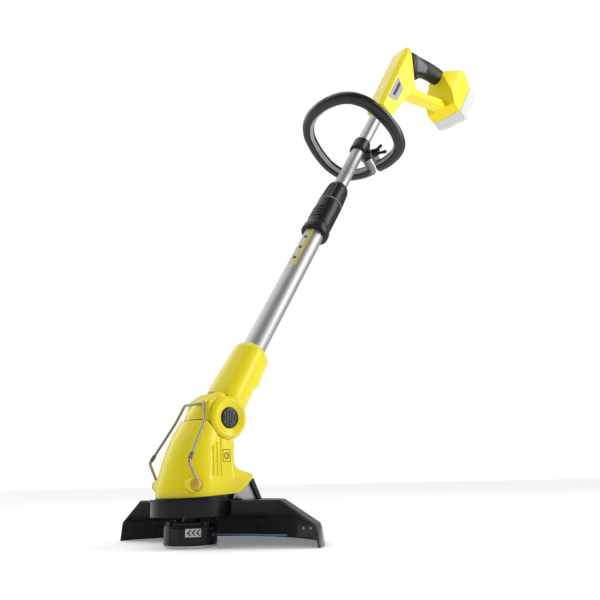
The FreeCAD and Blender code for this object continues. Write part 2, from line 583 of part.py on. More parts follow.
def make_knuckle():
    """The tilt knuckle between head and pole, with its axle, push buttons and springs."""
    front = mm("knuckle_front")
    top = mm("knuckle_top")
    half = mm("knuckle_x")
    block = prism([(-mm("shield_v"), mm("shield_u")), (-front, top), (front - 3, top), (front - 3, 8), (10, -20),
                   (-0.7, -mm("disc_edge_r") + 0.1), (-mm("shield_low_v"), -mm("shield_low_u"))], -half, half)
    side_edges = [edge for edge in block.Edges
                  if abs(edge.Vertexes[0].X - edge.Vertexes[1].X) < 0.1 and max(v.Y for v in edge.Vertexes) < -20]
    block = block.makeFillet(6, side_edges)
    cheek = mm("cheek_x")
    disc = rod(mm("disc_edge_r"), (-cheek, 0, 0), (cheek, 0, 0))
    rims = [edge for edge in disc.Edges if len(edge.Vertexes) == 1 and edge.Closed]
    disc = disc.makeFillet(3, rims)
    solid = block.fuse(disc)
    solid = solid.common(box((-60, -60, -60), (60, 60, top)))
    slot = mm("tongue_w") / 2 + mm("fork_gap")
    clear = mm("tongue_r") + 1
    solid = solid.cut(box((-slot, -clear, -60), (slot, 60, clear)))
    for side in (1, -1):
        recess = rod(mm("button_r") + 0.3, (side * mm("button_floor"), 0, 0), (side * 60, 0, 0))
        solid = solid.cut(recess)
        groove = tube(26.5, 25.5, (side * (cheek - 0.8), 0, 0), (side * 60, 0, 0))
        solid = solid.cut(groove)
    solid = solid.fuse(rod(mm("spigot_r"), (0, 0, top), (0, 0, top + mm("spigot_len"))))
    solid = solid.cut(rod(mm("axle_r") + mm("run_fit"), (-60, 0, 0), (60, 0, 0)))
    solid = solid.cut(rod(mm("coil_r"), (0, 0, clear), (0, 0, 90)))
    shaped("tilt_knuckle", solid.removeSplitter(), stand_on_pole)
    axle = turned("tilt_axle", [
        ("-axle_len / 2", "0"), ("axle_len / 2", "0"), ("axle_len / 2", "axle_r"), ("-axle_len / 2", "axle_r")],
        "H_Axis")
    stand_on_pole(axle)
    springs = []
    for side, name in ((1, "right"), (-1, "left")):
        sign = "" if side > 0 else "-"
        button = turned("tilt_button_" + name, [
            (sign + "(button_x - button_t)", "0"), (sign + "button_x", "0"), (sign + "button_x", "button_r - 1"),
            (sign + "(button_x - 1)", "button_r"), (sign + "(button_x - button_t)", "button_r")], "H_Axis")
        stand_on_pole(button)
        length = mm("button_x") - mm("button_t") - mm("button_floor")
        foot = Vec(side * mm("button_floor"), 0, 0)
        along = Vec(side, 0, 0)
        springs.append(cup_spring(mm("cup_r"), foot, along, length))
    shaped("tilt_button_springs", Part.makeCompound(springs), stand_on_pole)


# ---------------------------------------------------------------- pole

def make_pole():
    """The pole: socket, lower tube with height strip, telescope sleeve, collet, twist collar and upper tube."""
    socket = turned("tube_socket", [
        ("spigot_r + run_fit", "knuckle_top + seat_gap"), ("socket_r1", "knuckle_top + seat_gap"),
        ("socket_r1 + 0.5", "socket_floor"), ("socket_r2", "100"), ("socket_r3", "socket_top - 8"),
        ("socket_r3 - 6", "socket_top"), ("low_tube_r", "socket_top"), ("low_tube_r", "socket_floor"),
        ("coil_r + 1", "socket_floor"), ("coil_r + 1", "knuckle_top + spigot_len + seat_gap"),
        ("spigot_r + run_fit", "knuckle_top + spigot_len + seat_gap")])
    pad(socket, "YZ_Plane", [
        ("low_tube_r + 3", "pad_u1"), ("pad_v - 4", "pad_u1"), ("pad_v + pad_rise", "pad_u1 + 10"),
        ("pad_v", "pad_u2 - 5"), ("pad_v - 5", "pad_u2"), ("low_tube_r + 3", "pad_u2")], "pad_w")
    stand_on_pole(socket)
    lower = turned("lower_tube", [
        ("low_tube_r - tube_wall", "socket_floor"), ("low_tube_r", "socket_floor"), ("low_tube_r", "low_tube_top"),
        ("low_tube_r - tube_wall", "low_tube_top")])
    stand_on_pole(lower)
    strip = tube(mm("low_tube_r") + mm("strip_t"), mm("low_tube_r"), (0, 0, mm("strip_top") - mm("strip_len")),
                 (0, 0, mm("strip_top")))
    half = mm("strip_w") / 2
    strip = strip.common(box((-half, -40, 0), (half, 0, 600)))
    strip.rotate(Vec(0, 0, 0), Z_AXIS, mm("strip_turn"))
    shaped("height_strip", strip, stand_on_pole)
    sleeve = turned("telescope_sleeve", [
        ("low_tube_r", "sleeve_low"), ("sleeve_rim_r", "sleeve_low"), ("sleeve_rim_r", "sleeve_low + sleeve_rim_h"),
        ("sleeve_r", "sleeve_low + sleeve_rim_h + 4"), ("sleeve_r", "sleeve_top"),
        ("up_tube_r + collet_wall + 0.4", "sleeve_top"),
        ("up_tube_r + collet_wall + 0.4", "low_tube_top + collet_flange + seat_gap"),
        ("low_tube_r", "low_tube_top + collet_flange + seat_gap")])
    stand_on_pole(sleeve)
    collet = turned("tube_collet", [
        ("up_tube_r + slide_fit", "low_tube_top"), ("low_tube_r - seat_gap", "low_tube_top"),
        ("low_tube_r - seat_gap", "low_tube_top + collet_flange"),
        ("up_tube_r + collet_wall", "low_tube_top + collet_flange"),
        ("up_tube_r + collet_wall", "collar_top - 8"), ("up_tube_r + slide_fit", "collar_top - 8")])
    cut_through(collet, "YZ_Plane", [
        ("0", "sleeve_top"), ("60", "sleeve_top"), ("60", "collar_top"), ("0", "collar_top")], length="2.4")
    stand_on_pole(collet)
    collar = turned("twist_collar", [
        ("up_tube_r + collet_wall + 0.4", "collar_low"), ("collar_r1", "collar_low"),
        ("collar_r1 - 0.6", "collar_low + 10"), ("collar_r2", "collar_top - 14"), ("collar_r2 - 2.4", "collar_top - 3"),
        ("collar_r2 - 5", "collar_top"), ("up_tube_r + 0.4", "collar_top"), ("up_tube_r + 0.4", "collar_top - 7.6"),
        ("up_tube_r + collet_wall + 0.4", "collar_top - 7.6")])
    stand_on_pole(collar)
    upper = turned("upper_tube", [
        ("up_tube_r - tube_wall", "up_tube_low"), ("up_tube_r", "up_tube_low"), ("up_tube_r", "apex_u - tube_stop"),
        ("up_tube_r - tube_wall", "apex_u - tube_stop")])
    stand_on_pole(upper)
    bush = turned("tube_end_bush", [
        ("up_tube_r", "up_tube_low"), ("low_tube_r - tube_wall - slide_fit", "up_tube_low"),
        ("low_tube_r - tube_wall - slide_fit", "up_tube_low + bush_len"), ("up_tube_r", "up_tube_low + bush_len")])
    stand_on_pole(bush)
    inner = mm("low_tube_r") - mm("tube_wall") - mm("seat_gap")
    coil_v = inner - mm("coil_r")
    lead_v = math.sqrt((mm("up_tube_r") - mm("tube_wall") - mm("lead_r") - mm("seat_gap")) ** 2 - 25)
    coil_low = mm("socket_floor") + 6
    coil_high = coil_low + 130
    coil = rod(mm("coil_r"), (0, coil_v, coil_low), (0, coil_v, coil_high))
    straight = rod(mm("lead_r"), (-5, lead_v, coil_high - 1), (-5, lead_v, mm("up_tube_low") + 60))
    shaped("pole_lead", coil.fuse(straight), stand_on_pole)
    upper_lead = rod(mm("lead_r"), (5, lead_v, mm("up_tube_low") + 70), (5, lead_v, mm("apex_u") - mm("tube_stop") + 2))
    shaped("handle_lead", upper_lead, stand_on_pole)


# ---------------------------------------------------------------- loop handle

# Half of the loop's centreline: fractions of its half width, and of its reach below or above the pole.
LOOP_OUTLINE = [
    (0.12, 1), (0.3, 1), (0.51, 0.93), (0.71, 0.81), (0.88, 0.56), (0.984, 0.1), (1, -0.153), (0.98, -0.34),
    (0.93, -0.51), (0.868, -0.653), (0.762, -0.771), (0.624, -0.873), (0.413, -0.953), (0.153, -0.993)]


def make_loop():
    """The loop handle round the pole, its clamp, bolt and wing knob."""
    low, high = mm("clamp_low"), mm("clamp_low") + mm("clamp_len")
    bore = mm("up_tube_r") + mm("slide_fit")
    clamp = tube(mm("clamp_r"), bore, (0, 0, low), (0, 0, high))
    rims = [edge for edge in clamp.Edges if edge.Closed and abs(edge.BoundBox.XLength / 2 - mm("clamp_r")) < 0.1]
    clamp = clamp.makeFillet(3, rims)
    bolt_v, bolt_u = mm("bolt_v"), mm("bolt_u")
    lug = rod(mm("lug_r"), (-mm("lug_x"), bolt_v, bolt_u), (mm("lug_x"), bolt_v, bolt_u))
    neck = box((-mm("lug_x"), bore + 1, bolt_u - mm("lug_r")), (mm("lug_x"), bolt_v, bolt_u + mm("lug_r")))
    clamp = clamp.fuse(lug).fuse(neck)
    clamp = clamp.cut(box((-1, bore - 2, low - 1), (1, bolt_v + 20, high + 1)))
    clamp = clamp.cut(rod(mm("bolt_r"), (-60, bolt_v, bolt_u), (60, bolt_v, bolt_u)))
    shaped("loop_clamp", clamp.removeSplitter(), stand_on_pole)
    bolt = turned("clamp_bolt", [
        ("-(arm_x2 + 4.6)", "0"), ("arm_x2 + 18", "0"), ("arm_x2 + 18", "bolt_r"), ("-(arm_x2 + 0.3)", "bolt_r"),
        ("-(arm_x2 + 0.3)", "bolt_r + 4"), ("-(arm_x2 + 4.6)", "bolt_r + 4")], "H_Axis")
    stand_on_pole(bolt, "bolt_v", "bolt_u")
    top, half_width, bottom = mm("ring_top"), mm("ring_half"), mm("ring_low")
    ring_u = mm("ring_u")
    right = [Vec(half_width * across, along * (bottom if along > 0 else top), ring_u) for across, along in LOOP_OUTLINE]
    left = [Vec(-p.x, p.y, p.z) for p in reversed(right)]
    curve = Part.BSplineCurve()
    curve.interpolate(right + [Vec(0, -top, ring_u)] + left)
    ring = swept(Part.Wire([curve.toShape()]), mm("ring_r"))
    arms = []
    for side in (1, -1):
        x1, x2 = sorted((side * mm("arm_x1"), side * mm("arm_x2")))
        eye = rod(mm("arm_eye_r"), (x1, bolt_v, bolt_u), (x2, bolt_v, bolt_u))
        plate = prism([(bolt_v, bolt_u + mm("arm_eye_r")), (bolt_v, bolt_u - mm("arm_eye_r")),
                       (bottom + 4, ring_u - mm("arm_w") / 2), (bottom + 12, ring_u - 4), (bottom + 12, ring_u + 6),
                       (bottom + 2, ring_u + mm("arm_w") / 2)], x1, x2)
        arms.append(eye.fuse(plate))
    loop = ring.fuse(arms[0]).fuse(arms[1])
    loop = loop.cut(box((-mm("arm_x1"), 0, ring_u - 60), (mm("arm_x1"), 120, ring_u + 60)))
    loop = loop.cut(rod(mm("bolt_r") + mm("run_fit"), (-60, bolt_v, bolt_u), (60, bolt_v, bolt_u)))
    shaped("loop_handle", loop.removeSplitter(), stand_on_pole)
    start = mm("arm_x2") + 0.4
    hub = tube(mm("wing_hub_r"), mm("bolt_r") + mm("run_fit"), (start, 0, 0), (start + 12, 0, 0))
    wings = []
    half = mm("wing_t") / 2
    for side in (1, -1):
        near, far = side * (mm("bolt_r") + 0.5), side * mm("wing_reach")
        wing = prism([(near, -half), (near, half), (far, half), (far, -half)], start + 6, start + mm("wing_len"))
        gap = side * (mm("wing_reach") - mm("wing_t"))
        slope = prism([(0, -half - 1), (0, half + 1), (gap, half + 1), (gap, -half - 1)], start + 13,
                      start + mm("wing_len") + 1)
        wings.append(wing.cut(slope))
    knob = hub.fuse(wings[0]).fuse(wings[1]).cut(rod(mm("bolt_r") + mm("run_fit"), (0, 0, 0), (60, 0, 0)))
    shaped("wing_knob", knob.removeSplitter(), lambda piece: stand_on_pole(piece, "bolt_v", "bolt_u"))


# ---------------------------------------------------------------- rear handle

def edge_wedge(sign, wide, narrow, v_narrow, v_wide):
    """What is cut from one long edge of a housing: everything outside the line from narrow to wide."""
    reach = 2 * wide
    depth = mm("house_len") * 2
    return Part.Face(Part.makePolygon([
        Vec(sign * narrow, v_narrow, -depth), Vec(sign * reach, v_narrow, -depth), Vec(sign * reach, v_wide, -depth),
        Vec(sign * wide, v_wide, -depth), Vec(sign * narrow, v_narrow, -depth)])).extrude(Vec(0, 0, 2 * depth))


def column_solid(shrink):
    """The front column of the rear housing, that holds the pole; u is 0 at its apex."""
    low = -mm("house_len")
    front, front_top, half = mm("house_front"), mm("house_front_top"), mm("house_x")
    side = prism([(-front + shrink, low), (-front_top + shrink, -32), (-22 + shrink, -8 - shrink), (-16, -shrink),
                  (32 - shrink, -89 - shrink), (47 - 2 * shrink, -98 - shrink), (44 - shrink, -115 + shrink),
                  (30 - shrink, -164 + shrink), (20 - shrink, low)], -half + shrink, half - shrink)
    bevel = 8
    for sign in (1, -1):
        side = side.cut(edge_wedge(sign, half, half - bevel, -front_top - 4, -front_top + bevel + 4))
    return side


def strut_solid(shrink):
    """The flat strut from the column to the battery shoe."""
    end = mm("mate_v") - mm("shoe_floor")
    return prism([(36, -117 + shrink), (36, -97 - shrink), (46, -93 - shrink), (end, -12 - shrink),
                  (end, -30 + shrink)], -mm("strut_x") + shrink, mm("strut_x") - shrink)


def shoe_solid(shrink):
    """The battery shoe at the rear."""
    mate, low, high, half = mm("mate_v"), -mm("shoe_drop"), mm("shoe_rise"), mm("shoe_x")
    side = prism([(mate - 27, low + shrink), (mate, low + shrink), (mate, high - shrink),
                  (mate - 36, high + 21 - shrink), (mate - 86 + shrink, high - 29 - shrink),
                  (mate - 84 + shrink, high - 42)], -half + shrink, half - shrink)
    for sign in (1, -1):
        side = side.cut(edge_wedge(sign, half, half - 16, mate - 106, mate - 44))
    return side


def battery_slot(clear, low):
    """The T-shaped slot that the battery's rails slide in, from low up to the rails' stop."""
    v1, v2, high = mm("mate_v") - mm("rail_depth"), mm("mate_v"), mm("tongue_rise")
    wide, narrow = mm("tongue_rail_x") + clear, mm("tongue_x") + clear
    rail = box((-wide, v1 - clear, low), (wide, v1 + mm("rail_t") + clear, high + clear))
    return rail.fuse(box((-narrow, v1, low), (narrow, v2 + 0.5, high + clear)))


# The grip's ovals: centre v and u, how far each faces back, half height and half width.
GRIP_PATH = [(2, -29, 0.42, 29, 21), (27, 0, 0.88, 21, 17.5), (57, 24, 0.82, 18.5, 17), (92, 45, 0.90, 19, 18),
             (118, 55, 0.95, 20, 19)]


def ellipse(section, shrink):
    """One oval of the grip."""
    v, u, facing, tall, wide = section
    normal = Vec(0, facing, math.sqrt(1 - facing ** 2))
    up = Vec(0, -normal.z, normal.y)
    centre = Vec(0, v, u)
    ends = [centre + up * (tall - shrink), centre + X_AXIS * (wide - shrink)]
    if wide > tall:
        ends.reverse()
    return Part.Wire([Part.Ellipse(ends[0], ends[1], centre).toShape()])


def grip_solid(shrink):
    return Part.makeLoft([ellipse(section, shrink) for section in GRIP_PATH], True)


def trigger_solid(clear):
    """The trigger under the grip."""
    half = mm("trigger_w") / 2 + clear
    return prism([(28 - clear, 6), (26 - clear, -16), (33 - clear, -29 - clear), (44 + clear, -31 - clear),
                  (55 + clear, -12 + clear), (60 + clear, 6)], -half, half)


# Posts of the rear housing: v and u of those with a screw, and the one that only stiffens the front.
POSTS = [(24, -141), (-8, -46), (120, 74)]
FRONT_POST = (-19, -216)


def make_housing(grip_outer):
    """The two halves of the rear housing with their badge and screws."""
    wall, far = mm("house_wall"), 2 * mm("house_len")
    stop, floor = -mm("tube_stop"), mm("mate_v") - mm("shoe_floor")
    outer = column_solid(0).fuse(strut_solid(0)).fuse(shoe_solid(0))
    hollow_column = column_solid(wall).cut(box((-far, -far, -far), (far, far, stop + 2)))
    hollow_strut = strut_solid(wall).cut(box((-far, 0, -far), (far, 60, far)))
    hollow_strut = hollow_strut.cut(box((-far, floor - 8, -far), (far, far, far)))
    hollow_shoe = shoe_solid(wall).cut(box((-far, floor, -far), (far, far, far)))
    hollow_shoe = hollow_shoe.cut(box((-far, 60, -far), (far, far, -1)))
    shell = outer.cut(hollow_column).cut(hollow_strut).cut(hollow_shoe)
    shell = shell.cut(battery_slot(mm("rail_clear"), -mm("shoe_drop") - 5)).cut(grip_outer)
    bore = rod(mm("up_tube_r"), (0, 0, -far), (0, 0, stop))
    shell = shell.cut(bore)
    shell = shell.cut(rod(mm("up_tube_r") - mm("tube_wall"), (0, 0, stop - 35), (0, 0, stop + 3)))
    for v, u in POSTS + [FRONT_POST]:
        post = rod(mm("screw_boss_r"), (-far, v, u), (far, v, u)).common(outer)
        shell = shell.fuse(post.cut(bore).cut(grip_outer))
    for hole in screw_holes(POSTS, 12):
        shell = shell.cut(hole)
    low, high = -mm("badge_drop") - mm("badge_len") / 2, -mm("badge_drop") + mm("badge_len") / 2
    badge = prism([(-13, low), (-14, high), (12, high - 8), (13, low + 8)], mm("house_x") - mm("badge_t"),
                  mm("house_x"))
    left, right = halves(shell.cut(badge).removeSplitter())
    shaped("rear_housing_left", left, stand_on_apex)
    shaped("rear_housing_right", right, stand_on_apex)
    shaped("badge_plate", badge, stand_on_apex)
    shaped("housing_screws", Part.makeCompound([
        screw(v, u, -8 - mm("screw_head_t"), mm("screw_len") - 4) for v, u in POSTS]), stand_on_apex)
    shaped("control_board", box((-14, -22, stop + 2.3), (14, 20, stop + 4)), stand_on_apex)
    shaped("battery_terminals", box((-22, floor - 6, 26), (22, floor - 0.1, 62)), stand_on_apex)


def make_grip(grip_outer):
    """The rear grip with its trigger, trigger spring and switch, and the lock-off button."""
    lock_v, lock_u = mm("lock_v"), mm("lock_u")
    pin_v, pin_u = mm("trigger_pin_v"), -mm("trigger_pin_drop")
    half, reach = mm("trigger_w") / 2, 60
    pin = rod(mm("trigger_pin_r"), (-15, pin_v, pin_u), (15, pin_v, pin_u))
    grip = grip_outer.cut(grip_solid(mm("grip_wall"))).cut(trigger_solid(mm("trigger_clear")))
    grip = grip.cut(rod(mm("lock_r") + mm("run_fit"), (-reach, lock_v, lock_u), (reach, lock_v, lock_u)))
    switch_v, switch_u, switch_h = 52, 9, 14
    rib = box((-5, switch_v - 5, switch_u + switch_h), (5, switch_v + 5, switch_u + 45))
    grip = grip.fuse(rib.common(grip_outer)).cut(pin)
    shaped("rear_grip", grip.removeSplitter(), stand_on_apex)
    lock_half = mm("lock_len") / 2
    lock = rod(mm("lock_r"), (-lock_half, lock_v, lock_u), (lock_half, lock_v, lock_u))
    shaped("lock_button", lock, stand_on_apex)
    top = pin_u + 2
    trigger = trigger_solid(0).cut(box((-reach, 0, top), (reach, 90, reach)))
    trigger = trigger.fuse(rod(3.6, (-half, pin_v, pin_u), (half, pin_v, pin_u)))
    trigger = trigger.cut(rod(mm("trigger_pin_r") + mm("run_fit"), (-20, pin_v, pin_u), (20, pin_v, pin_u)))
    shaped("trigger", trigger.removeSplitter(), stand_on_apex)
    shaped("trigger_pin", pin, stand_on_apex)
    shaped("power_switch", box((-6, switch_v - 6, switch_u), (6, switch_v + 6, switch_u + switch_h)), stand_on_apex)
    low = top + 0.2
    spring = helix_spring(2.6, 0.5, switch_u - 0.2 - low, 5, (0, switch_v, low), (0, 0, 1))
    shaped("trigger_spring", spring, stand_on_apex)


def make_battery():
    """The slide-on battery: case with rails, cells and release button."""
    mate = mm("mate_v") + mm("seat_gap")
    back, low, high, half = mate + mm("pack_t"), -mm("pack_drop"), mm("pack_rise"), mm("shoe_x")
    outer = prism([(mate, low), (back - 5, low), (back, low + 5), (back, high - 4), (back - 4, high), (mate, high - 5)],
                  -half, half)
    for sign in (1, -1):
        outer = outer.cut(edge_wedge(sign, half, half - 6, back + 1, back - 8))
    wall = mm("pack_wall")
    inner = box((-half + wall, mate + wall, low + wall), (half - wall, back - wall - 5, high - wall - 4))
    rails = battery_slot(0, -mm("tongue_drop")).common(box((-half, 0, low), (half, mate + 0.01, high + 20)))
    root = box((-mm("tongue_x"), mm("mate_v") - 1, -mm("tongue_drop")), (mm("tongue_x"), mate + 0.5, mm("tongue_rise")))
    button_low, button_high = low + 14, low + 40
    pocket = box((-14, back - wall - 6, button_low), (14, back + 1, button_high))
    case = outer.cut(inner).fuse(rails.fuse(root)).cut(pocket).removeSplitter()
    shaped("battery_case", case, stand_on_apex)
    centre_v = mate + wall + mm("cell_r") + 0.3
    first = low + wall + mm("cell_r") + 0.5
    side = mm("cell_len") / 2
    cells = []
    for i in range(int(mm("cell_count"))):
        at = first + i * mm("cell_pitch")
        cells.append(rod(mm("cell_r"), (-side, centre_v, at), (side, centre_v, at)))
    shaped("battery_cells", Part.makeCompound(cells), stand_on_apex)
    button = box((-13.6, back - wall - 3, button_low + 0.4), (13.6, back + 1.2, button_high - 0.4))
    shaped("battery_button", button, stand_on_apex)


make_spool()
make_motor()
make_guard()
make_head()
make_plant_guard()
make_knuckle()
make_pole()
make_loop()
grip_form = grip_solid(0)
make_housing(grip_form)
make_grip(grip_form)
make_battery()
doc.recompute()

problems = []
for obj in doc.Objects:
    if "Invalid" in obj.State or "Error" in obj.State:
        problems.append("%s: %s" % (obj.Label, obj.State))
for part in PARTS:
    if part.Shape.isNull() or not part.Shape.isValid() or not part.Shape.Solids:
        problems.append("%s has no valid shape" % part.Label)
if problems:
    raise SystemExit("\n".join(problems))

os.makedirs("parts", exist_ok=True)
for part in PARTS:
    part.Shape.exportStep(os.path.join("parts", part.Label + ".step"))
    print("%-24s solids %d volume %.0f" % (part.Label, len(part.Shape.Solids), part.Shape.Volume))
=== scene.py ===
"""Cordless lawn edger, dressed for a studio render.

Everything is in the CAD frame: metres, +Z up, +Y towards the user, origin under the spool.
Shapes are written in millimetres in one of two spaces: the world, or the pole space, whose origin is the tilt
pivot and whose axes are x across the tool, v below the pole and u along the pole towards the user's hand.
"""

import logging
import math
from dataclasses import dataclass
from enum import Enum
from typing import Callable, Optional, Sequence

import bmesh
import bpy
import numpy as np
from mathutils import Matrix, Vector


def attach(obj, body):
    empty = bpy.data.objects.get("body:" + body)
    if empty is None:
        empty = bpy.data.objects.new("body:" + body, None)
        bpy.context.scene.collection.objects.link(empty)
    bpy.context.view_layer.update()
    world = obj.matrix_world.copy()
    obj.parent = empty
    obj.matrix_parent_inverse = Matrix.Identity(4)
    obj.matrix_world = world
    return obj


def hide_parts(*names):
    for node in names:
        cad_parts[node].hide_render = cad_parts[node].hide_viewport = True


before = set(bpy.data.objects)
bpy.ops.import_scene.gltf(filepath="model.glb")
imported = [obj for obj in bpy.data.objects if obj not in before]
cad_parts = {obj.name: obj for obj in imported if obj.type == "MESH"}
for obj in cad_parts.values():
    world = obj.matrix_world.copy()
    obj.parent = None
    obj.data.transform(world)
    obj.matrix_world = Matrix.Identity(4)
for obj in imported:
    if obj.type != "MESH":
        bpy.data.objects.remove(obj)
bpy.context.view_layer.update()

log = logging.getLogger("lawn_edger")

MM = 0.001
POLE_TILT = math.radians(31.5)
PIVOT = np.array([0.0, 40.0, 175.5])
SIDES = ((1, "right"), (-1, "left"))

Outline = Sequence[tuple[float, float]]
Rows = Sequence[Sequence[float]]
Ripple = Callable[[np.ndarray, np.ndarray, np.ndarray], np.ndarray]


class Space(Enum):
    """The two spaces that shapes are written in."""

    WORLD = "world"
    POLE = "pole"


def place(points: np.ndarray, space: Space) -> np.ndarray:
    """Turn points into metres in the CAD frame.

    Args:
        points: array of (..., 3) in millimetres, in the given space.
        space: which space the points are in.

    Returns:
        The same array in metres; pole space is turned by the pole's tilt about X and moved to the pivot.
    """
    points = np.asarray(points, dtype=float)
    if space is Space.WORLD:
        return points * MM
    sin, cos = math.sin(POLE_TILT), math.cos(POLE_TILT)
    turned = points.copy()
    turned[..., 1] = cos * points[..., 1] + sin * points[..., 2]
    turned[..., 2] = -sin * points[..., 1] + cos * points[..., 2]
    return (turned + PIVOT) * MM


def smoothstep(value: np.ndarray, low: float, high: float) -> np.ndarray:
    """Return 0 below low, 1 above high, and 3t^2 - 2t^3 between."""
    t = np.clip((np.asarray(value, dtype=float) - low) / (high - low), 0.0, 1.0)
    return t * t * (3.0 - 2.0 * t)


def band(value: np.ndarray, low: float, high: float, edge: float) -> np.ndarray:
    """Return 1 between low and high, falling to 0 over edge outside them."""
    return smoothstep(value, low - edge, low) * (1.0 - smoothstep(value, high, high + edge))


def away(angle: np.ndarray, middle: float) -> np.ndarray:
    """Return how far each angle is from the middle one, 0 to pi."""
    return np.abs(np.arctan2(np.sin(angle - middle), np.cos(angle - middle)))


# ------------------------------------------------------------------ finishes


@dataclass(frozen=True)
class Finish:
    """How a real material looks.

    Attributes:
        name: the material's name.
        slot: name of a material slot in the record; not used.
        colour: base colour as an sRGB hex string.
        roughness: microfacet roughness.
        metallic: 1 for a bare metal.
        coat: weight of a clear gloss over the base.
        shine: strength of the base's own reflection, 0.5 for an ordinary plastic.
        grain_mm: size of the moulded or brushed grain; 0 leaves the surface smooth.
        grain_depth: strength of the grain's bump.
        brushed: grain drawn out along the pole.
        glow: strength of the emission of the base colour.
    """

    name: str
    slot: str
    colour: str
    roughness: float = 0.4
    metallic: float = 0.0
    coat: float = 0.0
    shine: float = 0.5
    grain_mm: float = 0.0
    grain_depth: float = 0.05
    brushed: bool = False
    glow: float = 0.0


def linear(colour: str) -> tuple[float, float, float, float]:
    """Turn an sRGB hex string into linear RGBA.

    Args:
        colour: "#rrggbb".

    Returns:
        Four floats; each channel is ((c + 0.055) / 1.055)^2.4 above 0.04045, else c / 12.92.
    """
    channels = [int(colour[i:i + 2], 16) / 255 for i in (1, 3, 5)]
    return (*[((c + 0.055) / 1.055) ** 2.4 if c > 0.04045 else c / 12.92 for c in channels], 1.0)


def add_node(tree: bpy.types.NodeTree, kind: str, **values: object) -> bpy.types.Node:
    """Add a shader node and set its sockets or properties by name.

    Args:
        tree: the node tree to add to.
        kind: the node's type name.
        values: socket names with underscores for spaces, or node properties.

    Returns:
        The new node.
    """
    node = tree.nodes.new(kind)
    for key, value in values.items():
        label = key.replace("_", " ")
        if label in node.inputs:
            node.inputs[label].default_value = value
        else:
            setattr(node, key, value)
    return node


def build_material(finish: Finish) -> bpy.types.Material:
    """Build the procedural material of a finish on object coordinates.

    Args:
        finish: what the material looks like.

    Returns:
        The material: a principled surface whose roughness varies by noise, with a bumped grain.
    """
    material = bpy.data.materials.new(finish.name)
    material.use_nodes = True
    tree = material.node_tree
    tree.nodes.clear()
    link = tree.links.new
    output = add_node(tree, "ShaderNodeOutputMaterial")
    surface = add_node(tree, "ShaderNodeBsdfPrincipled", Base_Color=linear(finish.colour),
                       Roughness=finish.roughness, Metallic=finish.metallic, Coat_Weight=finish.coat,
                       Coat_Roughness=0.08, Specular_IOR_Level=finish.shine)
    link(surface.outputs["BSDF"], output.inputs["Surface"])
    if finish.glow:
        surface.inputs["Emission Color"].default_value = linear(finish.colour)
        surface.inputs["Emission Strength"].default_value = finish.glow
    coordinates = add_node(tree, "ShaderNodeTexCoord")
    mapping = add_node(tree, "ShaderNodeMapping")
    link(coordinates.outputs["Object"], mapping.inputs["Vector"])
    if finish.brushed:
        mapping.inputs["Rotation"].default_value = (POLE_TILT, 0.0, 0.0)
        mapping.inputs["Scale"].default_value = (1.0, 1.0, 0.02)
    wear = add_node(tree, "ShaderNodeTexNoise", Scale=1.0 / 0.045, Detail=4.0)
    link(mapping.outputs["Vector"], wear.inputs["Vector"])
    rough = add_node(tree, "ShaderNodeMapRange", To_Min=finish.roughness * 0.86, To_Max=finish.roughness * 1.14)
    link(wear.outputs["Fac"], rough.inputs["Value"])
    link(rough.outputs["Result"], surface.inputs["Roughness"])
    if finish.grain_mm:
        grain = add_node(tree, "ShaderNodeTexNoise", Scale=1.0 / (finish.grain_mm * MM), Detail=3.0)
        link(mapping.outputs["Vector"], grain.inputs["Vector"])
        bump = add_node(tree, "ShaderNodeBump", Strength=finish.grain_depth, Distance=0.0002)
        link(grain.outputs["Fac"], bump.inputs["Height"])
        link(bump.outputs["Normal"], surface.inputs["Normal"])
    return material


YELLOW = Finish("yellow_nylon", "yellow_plastic", "#e0cf00", 0.34, coat=0.12, shine=0.35, grain_mm=0.5,
                grain_depth=0.03)
BLACK = Finish("black_glass_filled_nylon", "black_plastic", "#0a0b0d", 0.34, shine=0.25, grain_mm=0.5,
               grain_depth=0.06)
BLACK_GLOSS = Finish("black_gloss_nylon", "black_plastic", "#0a0b0c", 0.24, shine=0.4, grain_mm=0.8, grain_depth=0.02)
BLACK_RUBBER = Finish("black_soft_touch_rubber", "rubber", "#111113", 0.42, shine=0.3, grain_mm=0.35, grain_depth=0.1)
GREY = Finish("light_grey_nylon", "grey_plastic", "#b9babb", 0.42, grain_mm=0.5, grain_depth=0.04)
DARK_GREY = Finish("dark_grey_nylon", "grey_plastic", "#55575c", 0.45, grain_mm=0.5, grain_depth=0.05)
WHITE = Finish("pale_battery_polycarbonate", "white_plastic", "#c4c4c3", 0.4, shine=0.3, grain_mm=0.6,
               grain_depth=0.02)
AMBER = Finish("amber_acetal", "amber_plastic", "#b58c08", 0.3, coat=0.3)
OLIVE = Finish("printed_scale_lacquer", "amber_plastic", "#c3b60c", 0.4)
BLUE_LINE = Finish("blue_nylon_line", "nylon_line", "#1d4f82", 0.3, coat=0.2)
STEEL = Finish("zinc_plated_steel", "steel", "#8d8a7e", 0.36, metallic=1.0, grain_mm=0.6, grain_depth=0.02)
DARK_STEEL = Finish("blued_spring_steel", "steel", "#5b5b5e", 0.35, metallic=1.0)
ALUMINIUM = Finish("anodised_aluminium", "aluminium", "#a5a4a6", 0.46, metallic=1.0, grain_mm=0.5, grain_depth=0.03,
                   brushed=True)
BOARD = Finish("green_circuit_board", "board", "#1f5a35", 0.5)
CELL = Finish("wrapped_steel_cell", "cell_steel", "#3c6cab", 0.35, coat=0.2)
CUTTING_EDGE = Finish("blackened_steel_blade", "steel", "#3a3a3c", 0.35, metallic=1.0)
BUTTON_GREY = Finish("button_grey_nylon", "grey_plastic", "#2b2d34", 0.35, shine=0.4)
# The badge's own satin grey, also used as the painted highlight on the loop's inner flat.
SATIN_GREY_AND_SHEEN = Finish("satin_grey_inlay", "grey_plastic", "#8b8d90", 0.3, coat=0.2)
# Printed ink of the label's pictogram, also used as painted shade in the groove round the label.
LABEL_INK_AND_GROOVE_SHADE = Finish("printed_label_ink", "black_plastic", "#4a4a1c", 0.5)
